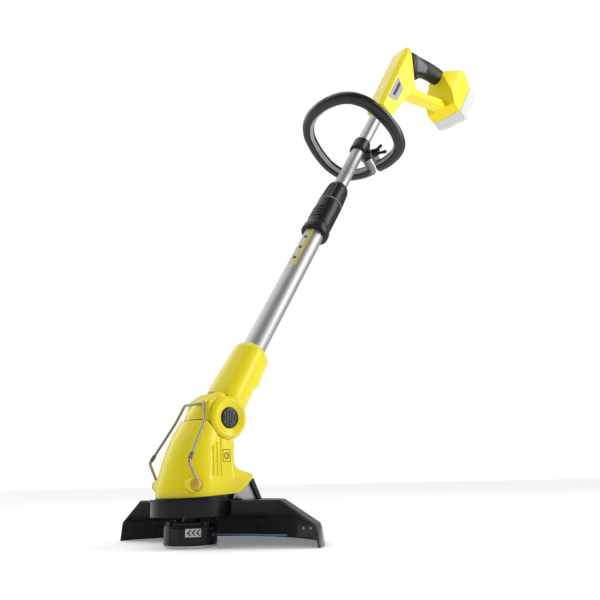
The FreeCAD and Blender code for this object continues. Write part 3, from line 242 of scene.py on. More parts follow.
# Painted highlight of the slots in the plant guard knobs.
AMBER_HIGHLIGHT = Finish("worn_amber_acetal", "amber_plastic", "#d3b13c", 0.35)
# Painted shade of the guard's inner windows.
WINDOW_SHADE = Finish("recess_black_nylon", "black_plastic", "#050506", 0.6)

MATERIALS: dict[str, bpy.types.Material] = {}


def material_of(finish: Finish) -> bpy.types.Material:
    """Return the finish's material, built once."""
    if finish.name not in MATERIALS:
        MATERIALS[finish.name] = build_material(finish)
    return MATERIALS[finish.name]


# ------------------------------------------------------------------ meshes


def add_object(name: str, data: bpy.types.ID) -> bpy.types.Object:
    """Put a mesh, light or camera into the scene as an object."""
    obj = bpy.data.objects.new(name, data)
    bpy.context.scene.collection.objects.link(obj)
    return obj


@dataclass
class Piece:
    """One finished mesh of the dressed model.

    Attributes:
        name: object name.
        finish: its finish.
        body: the CAD body that it rides on.
        space: the space its points are in.
        bevel_mm: width of the rounded edges; 0 for none.
        bevel_steps: facets in each rounded edge.
        crease_deg: edges sharper than this stay sharp.
        shell_mm: wall thickness of an open shell; 0 for a closed mesh.
        stands_for: the CAD nodes that it replaces.
    """

    name: str
    finish: Finish
    body: str
    space: Space = Space.WORLD
    bevel_mm: float = 0.0
    bevel_steps: int = 3
    crease_deg: float = 35.0
    shell_mm: float = 0.0
    stands_for: Sequence[str] = ()

    def make(self, points: np.ndarray, faces: Sequence[Sequence[int]]) -> bpy.types.Object:
        """Build the object from points and faces.

        Args:
            points: (n, 3) in millimetres, in the piece's space.
            faces: vertex index loops.

        Returns:
            The object, riding on its body, with outward faces.
        """
        mesh = bpy.data.meshes.new(self.name)
        mesh.from_pydata(place(points, self.space).tolist(), [], [list(face) for face in faces])
        mesh.validate()
        obj = add_object(self.name, mesh)
        face_outward(mesh)
        if self.shell_mm:
            wall = obj.modifiers.new("wall", "SOLIDIFY")
            wall.thickness = self.shell_mm * MM
            wall.offset = -1.0
        mesh.materials.append(material_of(self.finish))
        mesh.polygons.foreach_set("use_smooth", [True] * len(mesh.polygons))
        mesh.set_sharp_from_angle(angle=math.radians(self.crease_deg))
        if self.bevel_mm:
            bevel = obj.modifiers.new("rounding", "BEVEL")
            bevel.width = self.bevel_mm * MM
            bevel.segments = self.bevel_steps
            bevel.limit_method = "ANGLE"
            bevel.angle_limit = math.radians(25)
            bevel.harden_normals = True
            bevel.use_clamp_overlap = True
        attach(obj, self.body)
        if self.stands_for:
            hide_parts(*self.stands_for)
        return obj


def face_outward(mesh: bpy.types.Mesh) -> None:
    """Turn every face of a mesh outward; an open shell is turned away from its middle."""
    work = bmesh.new()
    work.from_mesh(mesh)
    bmesh.ops.recalc_face_normals(work, faces=work.faces)
    if any(edge.is_boundary for edge in work.edges):
        middle = sum((vertex.co for vertex in work.verts), Vector()) / len(work.verts)
        outward = sum(face.calc_area() * face.normal.dot(face.calc_center_median() - middle) for face in work.faces)
        if outward < 0:
            bmesh.ops.reverse_faces(work, faces=work.faces)
    work.to_mesh(mesh)
    work.free()


def grid_faces(rows: int, columns: int, caps: bool = True) -> list[list[int]]:
    """Return the faces of a stack of closed rings.

    Args:
        rows: number of rings.
        columns: points in each ring.
        caps: whether the first and last ring are filled.

    Returns:
        Quads between neighbouring rings, and one polygon at each end.
    """
    faces = []
    for i in range(rows - 1):
        for j in range(columns):
            k = (j + 1) % columns
            faces.append([i * columns + j, i * columns + k, (i + 1) * columns + k, (i + 1) * columns + j])
    if caps:
        faces.append(list(range(columns))[::-1])
        faces.append([(rows - 1) * columns + j for j in range(columns)])
    return faces


def loft(piece: Piece, rings: Sequence[np.ndarray], caps: bool = True) -> bpy.types.Object:
    """Join rings of equally many points.

    Args:
        piece: what to make.
        rings: (rows, columns, 3) points.
        caps: whether the first and last ring are filled.

    Returns:
        The object.
    """
    points = np.array(rings, dtype=float)
    return piece.make(points.reshape(-1, 3), grid_faces(*points.shape[:2], caps))


def lathe(piece: Piece, profile: Outline, axis: str = "Z", centre: Sequence[float] = (0, 0, 0),
          steps: int = 96, closed: bool = True, ripple: Optional[Ripple] = None) -> bpy.types.Object:
    """Turn a profile about an axis.

    Args:
        piece: what to make.
        profile: (radius, height) points; a closed loop when closed, else its ends are capped.
        axis: "Z" or "X", in the piece's space.
        centre: a point on the axis.
        steps: points round the axis.
        closed: whether the profile closes on itself.
        ripple: optional change of radius, from (radius, height, angle).

    Returns:
        The object: each point is (r cos a, r sin a, h) with r changed by ripple.
    """
    radius = np.array([p[0] for p in profile])[:, None] * np.ones((1, steps))
    height = np.array([p[1] for p in profile])[:, None] * np.ones((1, steps))
    angle = around(steps)[None, :] * np.ones((len(profile), 1))
    if ripple is not None:
        radius = ripple(radius, height, angle)
    if axis == "Z":
        points = np.stack([radius * np.cos(angle), radius * np.sin(angle), height], -1)
    else:
        points = np.stack([height, radius * np.cos(angle), radius * np.sin(angle)], -1)
    points = points + np.array(centre, dtype=float)
    rows = len(profile)
    faces = grid_faces(rows, steps, not closed)
    if closed:
        for j in range(steps):
            k = (j + 1) % steps
            faces.append([(rows - 1) * steps + j, (rows - 1) * steps + k, k, j])
    return piece.make(points.reshape(-1, 3), faces)


def prism(piece: Piece, outline: Outline, low: float, high: float) -> bpy.types.Object:
    """Push a flat outline along x.

    Args:
        piece: what to make.
        outline: (y, z) corners in the piece's space.
        low: one end.
        high: the other end.

    Returns:
        The object.
    """
    low, high = sorted((low, high))
    return loft(piece, [[(x, y, z) for y, z in outline] for x in (low, high)])


def rectangle(left: float, bottom: float, right: float, top: float) -> Outline:
    """Return the four corners of a rectangle."""
    return [(left, bottom), (right, bottom), (right, top), (left, top)]


def catmull(points: Rows, steps: int) -> np.ndarray:
    """Pass a smooth curve through points.

    Args:
        points: (n, k) numbers.
        steps: samples in each span.

    Returns:
        Samples of the Catmull-Rom spline 0.5 (2b + (c - a) t + (2a - 5b + 4c - d) t^2 + (3b - a - 3c + d) t^3).
    """
    points = np.asarray(points, dtype=float)
    padded = np.vstack([2 * points[:1] - points[1:2], points, 2 * points[-1:] - points[-2:-1]])
    t = np.linspace(0, 1, steps, endpoint=False)[:, None]
    spans = []
    for i in range(len(padded) - 3):
        a, b, c, d = padded[i:i + 4]
        spans.append(0.5 * (2 * b + (c - a) * t + (2 * a - 5 * b + 4 * c - d) * t ** 2
                            + (3 * b - a - 3 * c + d) * t ** 3))
    return np.vstack([*spans, points[-1:]])


def sweep(piece: Piece, path: np.ndarray, section: np.ndarray, up: Sequence[float]) -> bpy.types.Object:
    """Carry a flat section along a path.

    Args:
        piece: what to make.
        path: (n, 3) centreline.
        section: (m, 2) points: the first across the path and square to up, the second along up.
        up: the direction the section keeps.

    Returns:
        The capped object; each ring is centre + a * side + b * up, side = tangent x up.
    """
    tangent = np.gradient(path, axis=0)
    tangent /= np.linalg.norm(tangent, axis=1)[:, None]
    up_vector = np.array(up, dtype=float)
    side = np.cross(tangent, up_vector)
    side /= np.linalg.norm(side, axis=1)[:, None]
    over = np.cross(side, tangent)
    points = path[:, None, :] + section[None, :, 0, None] * side[:, None, :]
    return loft(piece, points + section[None, :, 1, None] * over[:, None, :])


def around(steps: int) -> np.ndarray:
    """Return equally spaced angles of one full turn."""
    return np.linspace(0, 2 * math.pi, steps, endpoint=False)


def wrap(piece: Piece, radii: tuple[float, float], middle: float, outline: Outline, arc_radius: float) -> None:
    """Lay a thin patch round a cylinder about the space's third axis.

    Args:
        piece: what to make.
        radii: radii of its inner and outer face.
        middle: angle of the patch's middle.
        outline: closed (arc length from the middle, height) corners.
        arc_radius: radius at which the arc length is measured.
    """
    arc = np.array(outline, dtype=float)
    turn = middle + arc[:, 0] / arc_radius
    loft(piece, [np.stack([r * np.cos(turn), r * np.sin(turn), arc[:, 1]], -1) for r in radii])


# ------------------------------------------------------------------ CAD nodes


NODE_FINISHES = {
    GREY: "spool_cover tube_collet badge_plate battery_button",
    BLACK: "line_reel drive_disc motor_skirt guard_gusset cutter_bracket guard_washers telescope_sleeve "
           "twist_collar tube_end_bush loop_clamp wing_knob lock_button trigger power_switch battery_terminals "
           "spool_housing",
    BLUE_LINE: "wound_line cutting_line",
    STEEL: "line_eyelets motor_shaft motor_can motor_bearings cutter_rivets guard_screws head_screws "
           "plant_guard_wire tilt_axle clamp_bolt housing_screws trigger_pin",
    DARK_STEEL: "spool_spring tilt_button_springs trigger_spring",
    ALUMINIUM: "motor_plate lower_tube upper_tube",
    BLACK_GLOSS: "debris_guard loop_handle",
    CUTTING_EDGE: "line_cutter",
    YELLOW: "head_shell_left head_shell_right tilt_knuckle tube_socket rear_housing_left rear_housing_right",
    AMBER: "plant_guard_knobs",
    DARK_GREY: "plant_guard_sleeves tilt_button_right tilt_button_left",
    OLIVE: "height_strip",
    BLACK_RUBBER: "pole_lead handle_lead rear_grip",
    BOARD: "control_board",
    WHITE: "battery_case",
    CELL: "battery_cells",
}


def dress_cad_nodes() -> None:
    """Give every CAD node the material of what it is made of."""
    for finish, names in NODE_FINISHES.items():
        for name in names.split():
            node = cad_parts[name]
            if not node.material_slots:
                node.data.materials.append(material_of(finish))
            for slot in node.material_slots:
                slot.link = "OBJECT"
                slot.material = material_of(finish)


# ------------------------------------------------------------------ sub-assemblies


@dataclass
class Head:
    """The motor housing: a cone-fronted shell with a flared lip at the back, side grooves and pivot bosses.

    Attributes:
        levels: rows of (height at y = 0, rise per mm of y, front radius, front centre y, half width at the back,
            back y, corner radius), from the lower edge up.
        groove_y: middles of the side grooves.
        knob: (y, z) of the plant guard's pivot.
        seam: (y, z) of the shell's upper edge.
        rows: rings in the shell's mesh.
        label: (y, z) of the label's lower front and upper back corner.
    """

    levels: Rows = (
        (67.5, 0.05, 49.6, 0, 37, 66, 14), (72.0, 0.08, 50.1, 0, 34, 76, 14), (78.5, 0.12, 50.2, 0, 29, 90.5, 12),
        (83.5, 0.135, 49.9, 0, 29, 91, 10), (90, 0.125, 49.3, 0, 31, 77, 9), (97.5, 0.105, 48, 0.6, 32.3, 61, 8),
        (106, 0.08, 46.4, 1.6, 32.8, 54.5, 8), (118, 0.02, 43.9, 3, 32.6, 53.2, 8), (132, 0, 41, 5.3, 32.4, 53, 8),
        (146, 0, 37.9, 8, 32.3, 53, 8), (160, 0, 34.8, 13, 32, 53, 8), (182, 0, 30.5, 21.5, 31.5, 53, 8))
    groove_y: Sequence[float] = (5.5, 13.5, 21.5)
    knob: tuple[float, float] = (-25.0, 82.0)
    seam: Outline = ((-60, 170.6), (2.4, 170.6), (21.4, 146.6), (40, 143.4), (100, 143.4))
    rows: int = 110
    label: Outline = ((26.5, 113.0), (42.5, 130.5))

    def outline(self, level: np.ndarray) -> np.ndarray:
        """Return the closed ring of one level.

        Args:
            level: one interpolated row of levels.

        Returns:
            (n, 3) points: back edge, rounded corner, straight side and half of the round front, then mirrored.
        """
        height, rise, radius, centre, width, back, corner = level
        flat = np.linspace(0, 1, 8, endpoint=False)
        turn = np.linspace(0, math.pi / 2, 8, endpoint=False)
        side = np.linspace(0, 1, 90, endpoint=False)
        front = np.linspace(0, math.pi / 2, 44)
        x = np.concatenate([(width - corner) * flat, width - corner + corner * np.sin(turn),
                            width + (radius - width) * side, radius * np.cos(front)])
        y = np.concatenate([np.full(8, back), back - corner + corner * np.cos(turn),
                            back - corner + (centre - back + corner) * side, centre - radius * np.sin(front)])
        x = np.concatenate([x, -x[1:-1][::-1]])
        y = np.concatenate([y, y[1:-1][::-1]])
        return np.stack([x, y, height + rise * y], -1)

    def build_shell(self) -> None:
        """Build the outer shell up to the seam below the knuckle."""
        fine = catmull(self.levels, 24)
        rings = np.array([self.outline(level) for level in fine])
        limit = np.interp(rings[..., 1], *zip(*self.seam))
        above = rings[..., 2] > limit
        last = np.where(above.any(0), above.argmax(0), len(rings) - 1)
        column = np.arange(rings.shape[1])
        low = rings[np.maximum(last - 1, 0), column]
        high = rings[last, column]
        room_low = limit[np.maximum(last - 1, 0), column] - low[:, 2]
        room_high = limit[last, column] - high[:, 2]
        part = np.clip(room_low / np.maximum(room_low - room_high, 1e-6), 0, 1)
        ends = last - 1 + part
        spans = np.linspace(0, 1, self.rows)[:, None] * ends[None, :]
        base = np.clip(np.floor(spans).astype(int), 0, len(rings) - 2)
        share = (spans - base)[..., None]
        points = rings[base, column[None, :]] * (1 - share) + rings[base + 1, column[None, :]] * share
        shell = Piece("head_shell", YELLOW, "head", shell_mm=2.5, crease_deg=50,
                      stands_for=("head_shell_left", "head_shell_right"))
        loft(shell, self.cut_grooves(points), caps=False)

    def cut_grooves(self, points: np.ndarray) -> np.ndarray:
        """Press the side grooves and the edge of the flat grip field into the sides.

        Args:
            points: (rows, columns, 3) shell points.

        Returns:
            The points, moved inward by up to 1.7 mm inside the grooves.
        """
        y, z = points[..., 1], points[..., 2]
        depth = np.zeros_like(y)
        for index, middle in enumerate(self.groove_y):
            slant = 0.06 * (z - 115)
            depth += 1.7 * band(y - slant, middle - 1.3, middle + 1.3, 0.9) * band(z, 95, 134 + 5 * index, 2.5)
        field_edge = -3.5 + 0.32 * (z - 92)
        field = smoothstep(y, field_edge, field_edge + 2.0) * band(z, 92, 156, 5) * (1 - smoothstep(y, 44, 47))
        depth += 0.55 * field
        side = np.abs(points[..., 0]) > 27
        moved = points.copy()
        moved[..., 0] -= np.sign(points[..., 0]) * np.where(side, depth, 0)
        return moved

    def build_details(self) -> None:
        """Build the pivot bosses, the bare label with its pictogram and the tongue inside the knuckle."""
        y, z = self.knob
        for side, name in SIDES:
            boss = [(0, 34), (10.4, 34), (10.4, 45.6), (9.6, 47.2), (8.0, 48.2), (0, 48.2)]
            lathe(Piece("pivot_boss_" + name, YELLOW, "head"), [(r, side * x) for r, x in boss], "X", (0, y, z),
                  closed=False)
        tongue = Piece("tilt_tongue", YELLOW, "head", bevel_mm=0.6)
        lathe(tongue, rectangle(0, -12, 16, 12), "X", PIVOT, closed=False)
        prism(Piece("tilt_tongue_stem", YELLOW, "head", bevel_mm=0.6), rectangle(25, 130, 55, 172), -12, 12)
        self.build_label()

    def lay_on_side(self, flat: bpy.types.Object) -> None:
        """Move a thin piece built at x = 0 onto the slanted right side.

        Args:
            flat: the piece's object.
        """
        levels = np.array(self.levels, dtype=float)
        for vertex in flat.data.vertices:
            y, z = vertex.co.y / MM, vertex.co.z / MM
            radius, centre, width, back, corner = (np.interp(z, levels[:, 0], levels[:, k]) for k in range(2, 7))
            share = np.clip((back - corner - y) / (back - corner - centre), 0, 1)
            vertex.co.x += (width + (radius - width) * share - 0.55) * MM

    def build_label(self) -> None:
        """Build the square label on the right side: a thin dark frame, painted shade of the groove round the recessed
        square, and a printed generic ring and leaf pictogram.
        """
        (low_y, low_z), (high_y, high_z) = self.label
        inner, outer, line = -0.25, 0.35, 0.8
        bars = ((low_y, low_z, high_y, low_z + line), (low_y, high_z - line, high_y, high_z),
                (low_y, low_z, low_y + line, high_z), (high_y - line, low_z, high_y, high_z))
        # Painted shade: the dark frame bars stand in for the shadow in the groove round the label.
        for index, bar in enumerate(bars):
            piece = Piece("label_frame_%d" % index, LABEL_INK_AND_GROOVE_SHADE, "head")
            self.lay_on_side(prism(piece, rectangle(*bar), inner, outer))
        middle = ((low_y + high_y) / 2, (low_z + high_z) / 2)
        ring = rectangle(3.4, inner, 4.9, outer)
        self.lay_on_side(lathe(Piece("label_ring", LABEL_INK_AND_GROOVE_SHADE, "head"), ring, "X", (0, *middle), 40))
        leaf = [(middle[0] + 2.2 * math.sin(a) * math.cos(a / 2), middle[1] + 2.6 * math.cos(a))
                for a in around(24)]
        self.lay_on_side(prism(Piece("label_leaf", LABEL_INK_AND_GROOVE_SHADE, "head"), leaf, inner, outer))

    def build(self) -> None:
        """Build the whole head housing."""
        self.build_shell()
        self.build_details()


@dataclass
class PlantGuard:
    """Pivot knobs of the folding plant guard wire.

    Attributes:
        centre: (y, z) of the pivot.
        start: x of a knob's inner face.
    """

    centre: tuple[float, float] = (-25.0, 82.0)
    start: float = 48.6

    def build(self) -> None:
        """Build two domed knobs, each with a paler amber bar across its slot as a painted highlight."""
        y, z = self.centre
        for side, name in SIDES:
            profile = [(0, 0), (7.2, 0), (8.3, 0.8), (8.5, 3.2), (7.9, 5.2), (6.2, 6.6), (3.4, 7.3), (0, 7.5)]
            stands = ("plant_guard_knobs",) if side > 0 else ()
            lathe(Piece("pivot_knob_" + name, AMBER, "plant_guard", stands_for=stands, crease_deg=50),
                  [(r, side * (self.start + x)) for r, x in profile], "X", (0, y, z), 64, False,
                  lambda r, h, a: r * (1 - 0.05 * (np.cos(6 * a) > 0.3) * (r > 7)))
            # Painted highlight: the paler amber bar stands in for the bright glint in the knob's slot.
            prism(Piece("knob_slot_" + name, AMBER_HIGHLIGHT, "plant_guard", bevel_mm=0.4),
                  rectangle(y - 1.0, z - 5.2, y + 1.2, z + 5.2), side * (self.start + 6.0), side * (self.start + 8.0))


@dataclass
class Knuckle:
    """The tilt knuckle: wedge-shaped body, two round cheeks and a ribbed button in each.

    Attributes:
        front: rows of the rounded front, as the head's levels.
        outline: (v, u) corners of the wedge behind it.
        rib_pitch: distance between a button's ribs.
        rib_half: half a rib's width.
        rib_field: radius of the field that the ribs fill.
    """

    front: Rows = (
        (172.2, 0, 31.6, 21, 31.6, 24, 2), (182, 0.08, 29.4, 22.4, 30.6, 24.6, 2), (191, 0.22, 30.0, 28, 30, 31, 2),
        (197.4, 0.36, 28.6, 30.6, 28.6, 33, 2), (198.8, 0.42, 26.6, 30.8, 26.6, 33, 2))
    outline: Outline = (
        (-41.5, 3.9), (-28.5, 29), (25.5, 29), (28.5, 8), (20, -22), (-0.7, -31.4), (-29.2, -22.4))
    rib_pitch: float = 4.6
    rib_half: float = 1.25
    rib_field: float = 11.6

    def build(self) -> None:
        """Build the body, the cheeks and the buttons."""
        body = Piece("knuckle_body", YELLOW, "knuckle", Space.POLE, 4.5, 5, stands_for=("tilt_knuckle",))
        prism(body, self.outline, -27, 27)
        loft(Piece("knuckle_front", YELLOW, "knuckle", crease_deg=50),
             [Head().outline(level) for level in catmull(self.front, 8)])
        cheek = [(15.3, 12.7), (15.3, 33.4), (16.2, 34.2), (24.2, 34.3), (25.0, 35.0), (26.4, 35.0), (27.2, 34.2),
                 (29.6, 33.4), (30.9, 32.2), (31.5, 30.4), (31.5, 12.7)]
        for side, name in SIDES:
            lathe(Piece("cheek_" + name, YELLOW, "knuckle", Space.POLE, crease_deg=50),
                  [(r, side * x) for r, x in cheek], "X")
            self.build_button(side, name)

    def build_button(self, side: int, name: str) -> None:
        """Build one push button.

        Args:
            side: 1 for the right cheek, -1 for the left.
            name: "right" or "left".
        """
        rim = [(0, 30.6), (14.5, 30.6), (14.5, 34.4), (13.9, 35.1), (12.8, 35.3), (12.3, 34.3), (0, 34.3)]
        lathe(Piece("button_rim_" + name, BLACK_GLOSS, "button_" + name, Space.POLE,
                    stands_for=("tilt_button_" + name,)),
              [(r, side * x) for r, x in rim], "X", closed=False)
        for index in range(-2, 3):
            offset = self.rib_pitch * index
            y, z, half = PIVOT[1] + offset, PIVOT[2], self.rib_half
            reach = math.sqrt(self.rib_field ** 2 - (abs(offset) + half + 0.05) ** 2)
            prism(Piece("button_rib_%s_%d" % (name, index + 2), BUTTON_GREY, "button_" + name, bevel_mm=0.5),
                  rectangle(y - half, z - reach, y + half, z + reach), side * 34.0, side * 35.4)


@dataclass
class Pole:
    """Yellow socket, ribbed sleeve and twist collar on the pole, and the height scale on the lower tube.

    Attributes:
        socket_low: u of the socket's lower face.
        socket_top: u of its upper end.
        collar_low: u of the collar's lower face.
        collar_top: u of its upper end.
        tube_r: radius of the lower tube.
        scale_angle: angle of the scale's middle about the pole.
        scale_low: u of the scale's lower end.
        scale_high: u of its upper end.
        scale_half: half its width.
        marks: u of its round marks.
    """

    socket_low: float = 29.4
    socket_top: float = 134.0
    collar_low: float = 492.2
    collar_top: float = 544.0
    tube_r: float = 18.0
    scale_angle: float = math.radians(-64.0)
    scale_low: float = 312.0
    scale_high: float = 404.0
    scale_half: float = 7.2
    marks: Sequence[float] = (330.0, 357.0, 384.0)

    def socket_radius(self, along: np.ndarray, angle: np.ndarray) -> np.ndarray:
        """Return the socket's radius.

        Args:
            along: u in mm.
            angle: angle about the pole, 0 at +x.

        Returns:
            The taper, with soft facets (|cos|^p + |sin|^p)^(-1/p) and the raised pad below the pole.
        """
        taper = np.interp(along, [29, 40, 62, 100, 124, 130, 134], [29.3, 29.8, 29.2, 27.6, 26.4, 24.0, 20.4])
        turn = angle - math.radians(22)
        power = 2.55
        facet = (np.abs(np.cos(turn)) ** power + np.abs(np.sin(turn)) ** power) ** (-1 / power)
        facet = 1 + (facet - 1) * 0.85 * (1 - smoothstep(along, 124, 134))
        height = np.interp(along, [70, 84, 100, 126, 131], [0, 4.4, 3.9, 2.6, 0])
        return taper * facet - 0.7 + height * (1 - smoothstep(away(angle, math.pi / 2), 0.62, 0.78))

    def build_socket(self) -> None:
        """Build the socket that holds the lower tube."""
        along = np.concatenate([[self.socket_low], np.linspace(self.socket_low + 0.8, self.socket_top, 90),
                                [self.socket_top]])
        inset = np.ones(len(along))
        inset[0] = 0.975
        mesh_u, mesh_a = np.meshgrid(along, around(128), indexing="ij")
        radius = self.socket_radius(mesh_u, mesh_a) * inset[:, None]
        radius[-1] = self.tube_r + 0.15
        points = np.stack([radius * np.cos(mesh_a), radius * np.sin(mesh_a), mesh_u], -1)
        loft(Piece("pole_socket", YELLOW, "pole", Space.POLE, crease_deg=32, stands_for=("tube_socket",)), points)

    def build_sleeve(self) -> None:
        """Build the telescope sleeve: thick rim, cross ribs on the front and a smooth panel on the right."""
        profile = [(18.2, 407), (24.6, 407), (25.8, 408), (26.1, 412), (25.9, 418), (25.2, 421), (23.9, 423)]
        profile += [(23.7, u) for u in np.linspace(425, 489, 80)]
        profile += [(23.4, 490.6), (22.6, 491.5), (17, 491.5)]

        def ripple(radius: np.ndarray, height: np.ndarray, angle: np.ndarray) -> np.ndarray:
            """Raise the cross ribs and the panel."""
            ribs = sum(band(height, u, u + 2.6, 0.9) for u in (438, 446, 454, 462))
            change = 1.0 * ribs * (1 - smoothstep(away(angle, -1.75), 0.75, 0.85))
            change = change + 0.7 * band(height, 428, 484, 2.0) * (1 - smoothstep(away(angle, 0.15), 0.62, 0.70))
            return radius + np.where(radius > 20, change, 0)

        lathe(Piece("pole_sleeve", BLACK, "pole", Space.POLE, crease_deg=40, stands_for=("telescope_sleeve",)),
              profile, steps=160, closed=False, ripple=ripple)

    def build_collar(self) -> None:
        """Build the twist collar with its lengthwise grips, and a thin pale grey ring under it as a painted highlight
        of the gap.
        """
        low, top = self.collar_low, self.collar_top
        profile = [(16.7, low), (23.2, low), (24.0, low + 0.8)]
        profile += [(24.0 - 2.3 * (u - low) / 38, u) for u in np.linspace(low + 2, low + 38, 40)]
        profile += [(21.4, top - 11), (20.6, top - 7), (19.2, top - 3.4), (17.2, top - 0.9), (15.4, top), (13.7, top)]

        def ripple(radius: np.ndarray, height: np.ndarray, angle: np.ndarray) -> np.ndarray:
            """Sink nine lengthwise grooves."""
            gap = smoothstep(np.cos(9 * angle + 0.6), 0.62, 0.86)
            return radius - 1.5 * gap * band(height, low + 3, top - 9, 1.6) * (radius > 18)

        lathe(Piece("lock_collar", BLACK, "collar", Space.POLE, crease_deg=40, stands_for=("twist_collar",)),
              profile, steps=216, closed=False, ripple=ripple)
        # Painted highlight: a thin pale grey ring in the gap under the collar stands in for the bright line of light
        # there.
        lathe(Piece("collar_washer", GREY, "pole", Space.POLE), rectangle(17.0, low - 0.55, 24.0, low - 0.15))

    def print_on_tube(self, piece: Piece, outline: Outline, outer: float = 0.35) -> None:
        """Lay a printed patch on the lower tube.

        Args:
            piece: what to make.
            outline: (arc length from the scale's middle, u) corners.
            outer: how far it stands out of the tube.
        """
        radii = (self.tube_r + outer - 0.3, self.tube_r + outer)
        wrap(piece, radii, self.scale_angle, outline, self.tube_r)

    def build_scale(self) -> None:
        """Print the height scale: an outlined strip with three round marks."""
        low, high, half = self.scale_low, self.scale_high, self.scale_half
        for side, wide, name in ((-1, 1.4, "a"), (1, 5.0, "b")):
            edge = rectangle(side * half, low, side * (half - wide), high)
            stands = ("height_strip",) if side < 0 else ()
            self.print_on_tube(Piece("scale_edge_" + name, OLIVE, "pole", Space.POLE, stands_for=stands), edge)
        for name, u in (("low", low), ("high", high - 1.5)):
            self.print_on_tube(Piece("scale_end_" + name, OLIVE, "pole", Space.POLE),
                               rectangle(-half, u, half, u + 1.5))
        for index, u in enumerate(self.marks):
            mark = [(2.6 * math.cos(a) - 2.0, u + 3.2 * math.sin(a)) for a in around(20)]
            self.print_on_tube(Piece("scale_mark_%d" % index, BLACK, "pole", Space.POLE), mark, 0.45)

    def build(self) -> None:
        """Build everything on the pole."""
        self.build_socket()
        self.build_sleeve()
        self.build_collar()
        self.build_scale()


@dataclass
class LoopHandle:
    """The loop handle with its two arms and the wing knob.

    Attributes:
        outline: half of the centreline as (x, v), from the arms round to the front.
        plane_u: height of the ring's plane along the pole.
        bolt: (v, u) of the cross bolt.
        painted_sheen_turn: angle of the inner flat in the ring's section, painted pale grey as a highlight, 0
            straight inward.
        wing: (x, distance from the bolt, radius) along one wing of the knob.
    """

    outline: Outline = (
        (9.5, 54), (28.4, 54), (48.2, 50.2), (67, 43.7), (83.2, 30.2), (93, 5.4), (94.5, -18), (92.6, -40),
        (87.9, -60), (82, -77), (72, -91), (59, -103), (39, -112.5), (14.5, -117.2))
    plane_u: float = 674.0
    bolt: tuple[float, float] = (27.0, 682.0)
    painted_sheen_turn: float = -0.55
    wing: Rows = ((20, 3.0, 3.6), (27, 4.6, 3.4), (34, 6.9, 3.6), (39, 7.9, 4.2), (41.0, 8.2, 3.4), (41.9, 8.3, 1.6))

    def build_ring(self) -> None:
        """Sweep the loop: a 24 mm rod with a shallow flat along its inner side, painted pale grey as a highlight."""
        half = [(x, v, self.plane_u) for x, v in self.outline]
        path = catmull(np.array(half + [(0, -118, self.plane_u)] + [(-x, v, u) for x, v, u in half[::-1]]), 10)
        columns = 64
        angle = around(columns)
        inner = away(angle, self.painted_sheen_turn)
        radius = 12.0 - 1.0 * band(inner, 0.44, 0.54, 0.08) - 0.25 * (1 - smoothstep(inner, 0.40, 0.46))
        section = np.stack([radius * np.cos(angle), radius * np.sin(angle)], -1)
        ring = sweep(Piece("loop_ring", BLACK_GLOSS, "loop", Space.POLE, stands_for=("loop_handle",)), path, section,
                     (0, 0, 1))
        # Painted highlight: the faces of the inner flat take the pale grey finish in place of the light that they
        # catch.
        ring.data.materials.append(material_of(SATIN_GREY_AND_SHEEN))
        for polygon in ring.data.polygons:
            column = min(vertex % columns for vertex in polygon.vertices)
            if len(polygon.vertices) == 4 and max(inner[column], inner[(column + 1) % columns]) < 0.40:
                polygon.material_index = 1

    def build_arms(self) -> None:
        """Build the two flat arms between the cross bolt and the loop's ends, painted mid grey as the highlight on
        their flat faces.
        """
        v, u = self.bolt
        outline = [(v - 9.5 * math.cos(a), u + 9.5 * math.sin(a)) for a in np.linspace(-math.pi / 2, math.pi / 2, 12)]
        outline += [(55, 686), (66, 680), (66, 669), (58, 662)]
        for side, name in SIDES:
            # Painted highlight: the arms' mid grey stands in for the light on their flat faces.
            prism(Piece("loop_arm_" + name, DARK_GREY, "loop", Space.POLE, 1.1), outline, side * 8.5, side * 14.4)

    def build_wings(self) -> None:
        """Build the wing knob: a round hub and two flared wings with rounded tips."""
        v, u = self.bolt
        lathe(Piece("wing_hub", BLACK, "wing", Space.POLE, 0.6, stands_for=("wing_knob",)),
              [(3.2, 14.9), (8.2, 14.9), (8.2, 17.5), (7.2, 26), (3.2, 26)], "X", (0, v, u), 48)
        for side, name in ((1, "a"), (-1, "b")):
            rings = [[(x, v + side * out + size * 0.85 * math.cos(a), u + size * math.sin(a)) for a in around(24)]
                     for x, out, size in self.wing]
            loft(Piece("wing_" + name, BLACK, "wing", Space.POLE), rings)

    def build(self) -> None:
        """Build the loop, the arms and the wing knob."""
        self.build_ring()
        self.build_arms()
        self.build_wings()


def box_rings(rows: Rows) -> list[list[tuple[float, float, float]]]:
    """Return rectangular rings with cut corners along v.

    Args:
        rows: (v, half width at the low side, half width at the high side, low u, high u, corner).

    Returns:
        Eight corners for each row.
    """
    rings = []
    for v, half_low, half_high, low, high, corner in rows:
        flat = [(half_low - corner, low), (half_low, low + corner), (half_high, high - corner),
                (half_high - corner, high)]
        rings.append([(x, v, u) for x, u in flat + [(-x, u) for x, u in flat[::-1]]])
    return rings


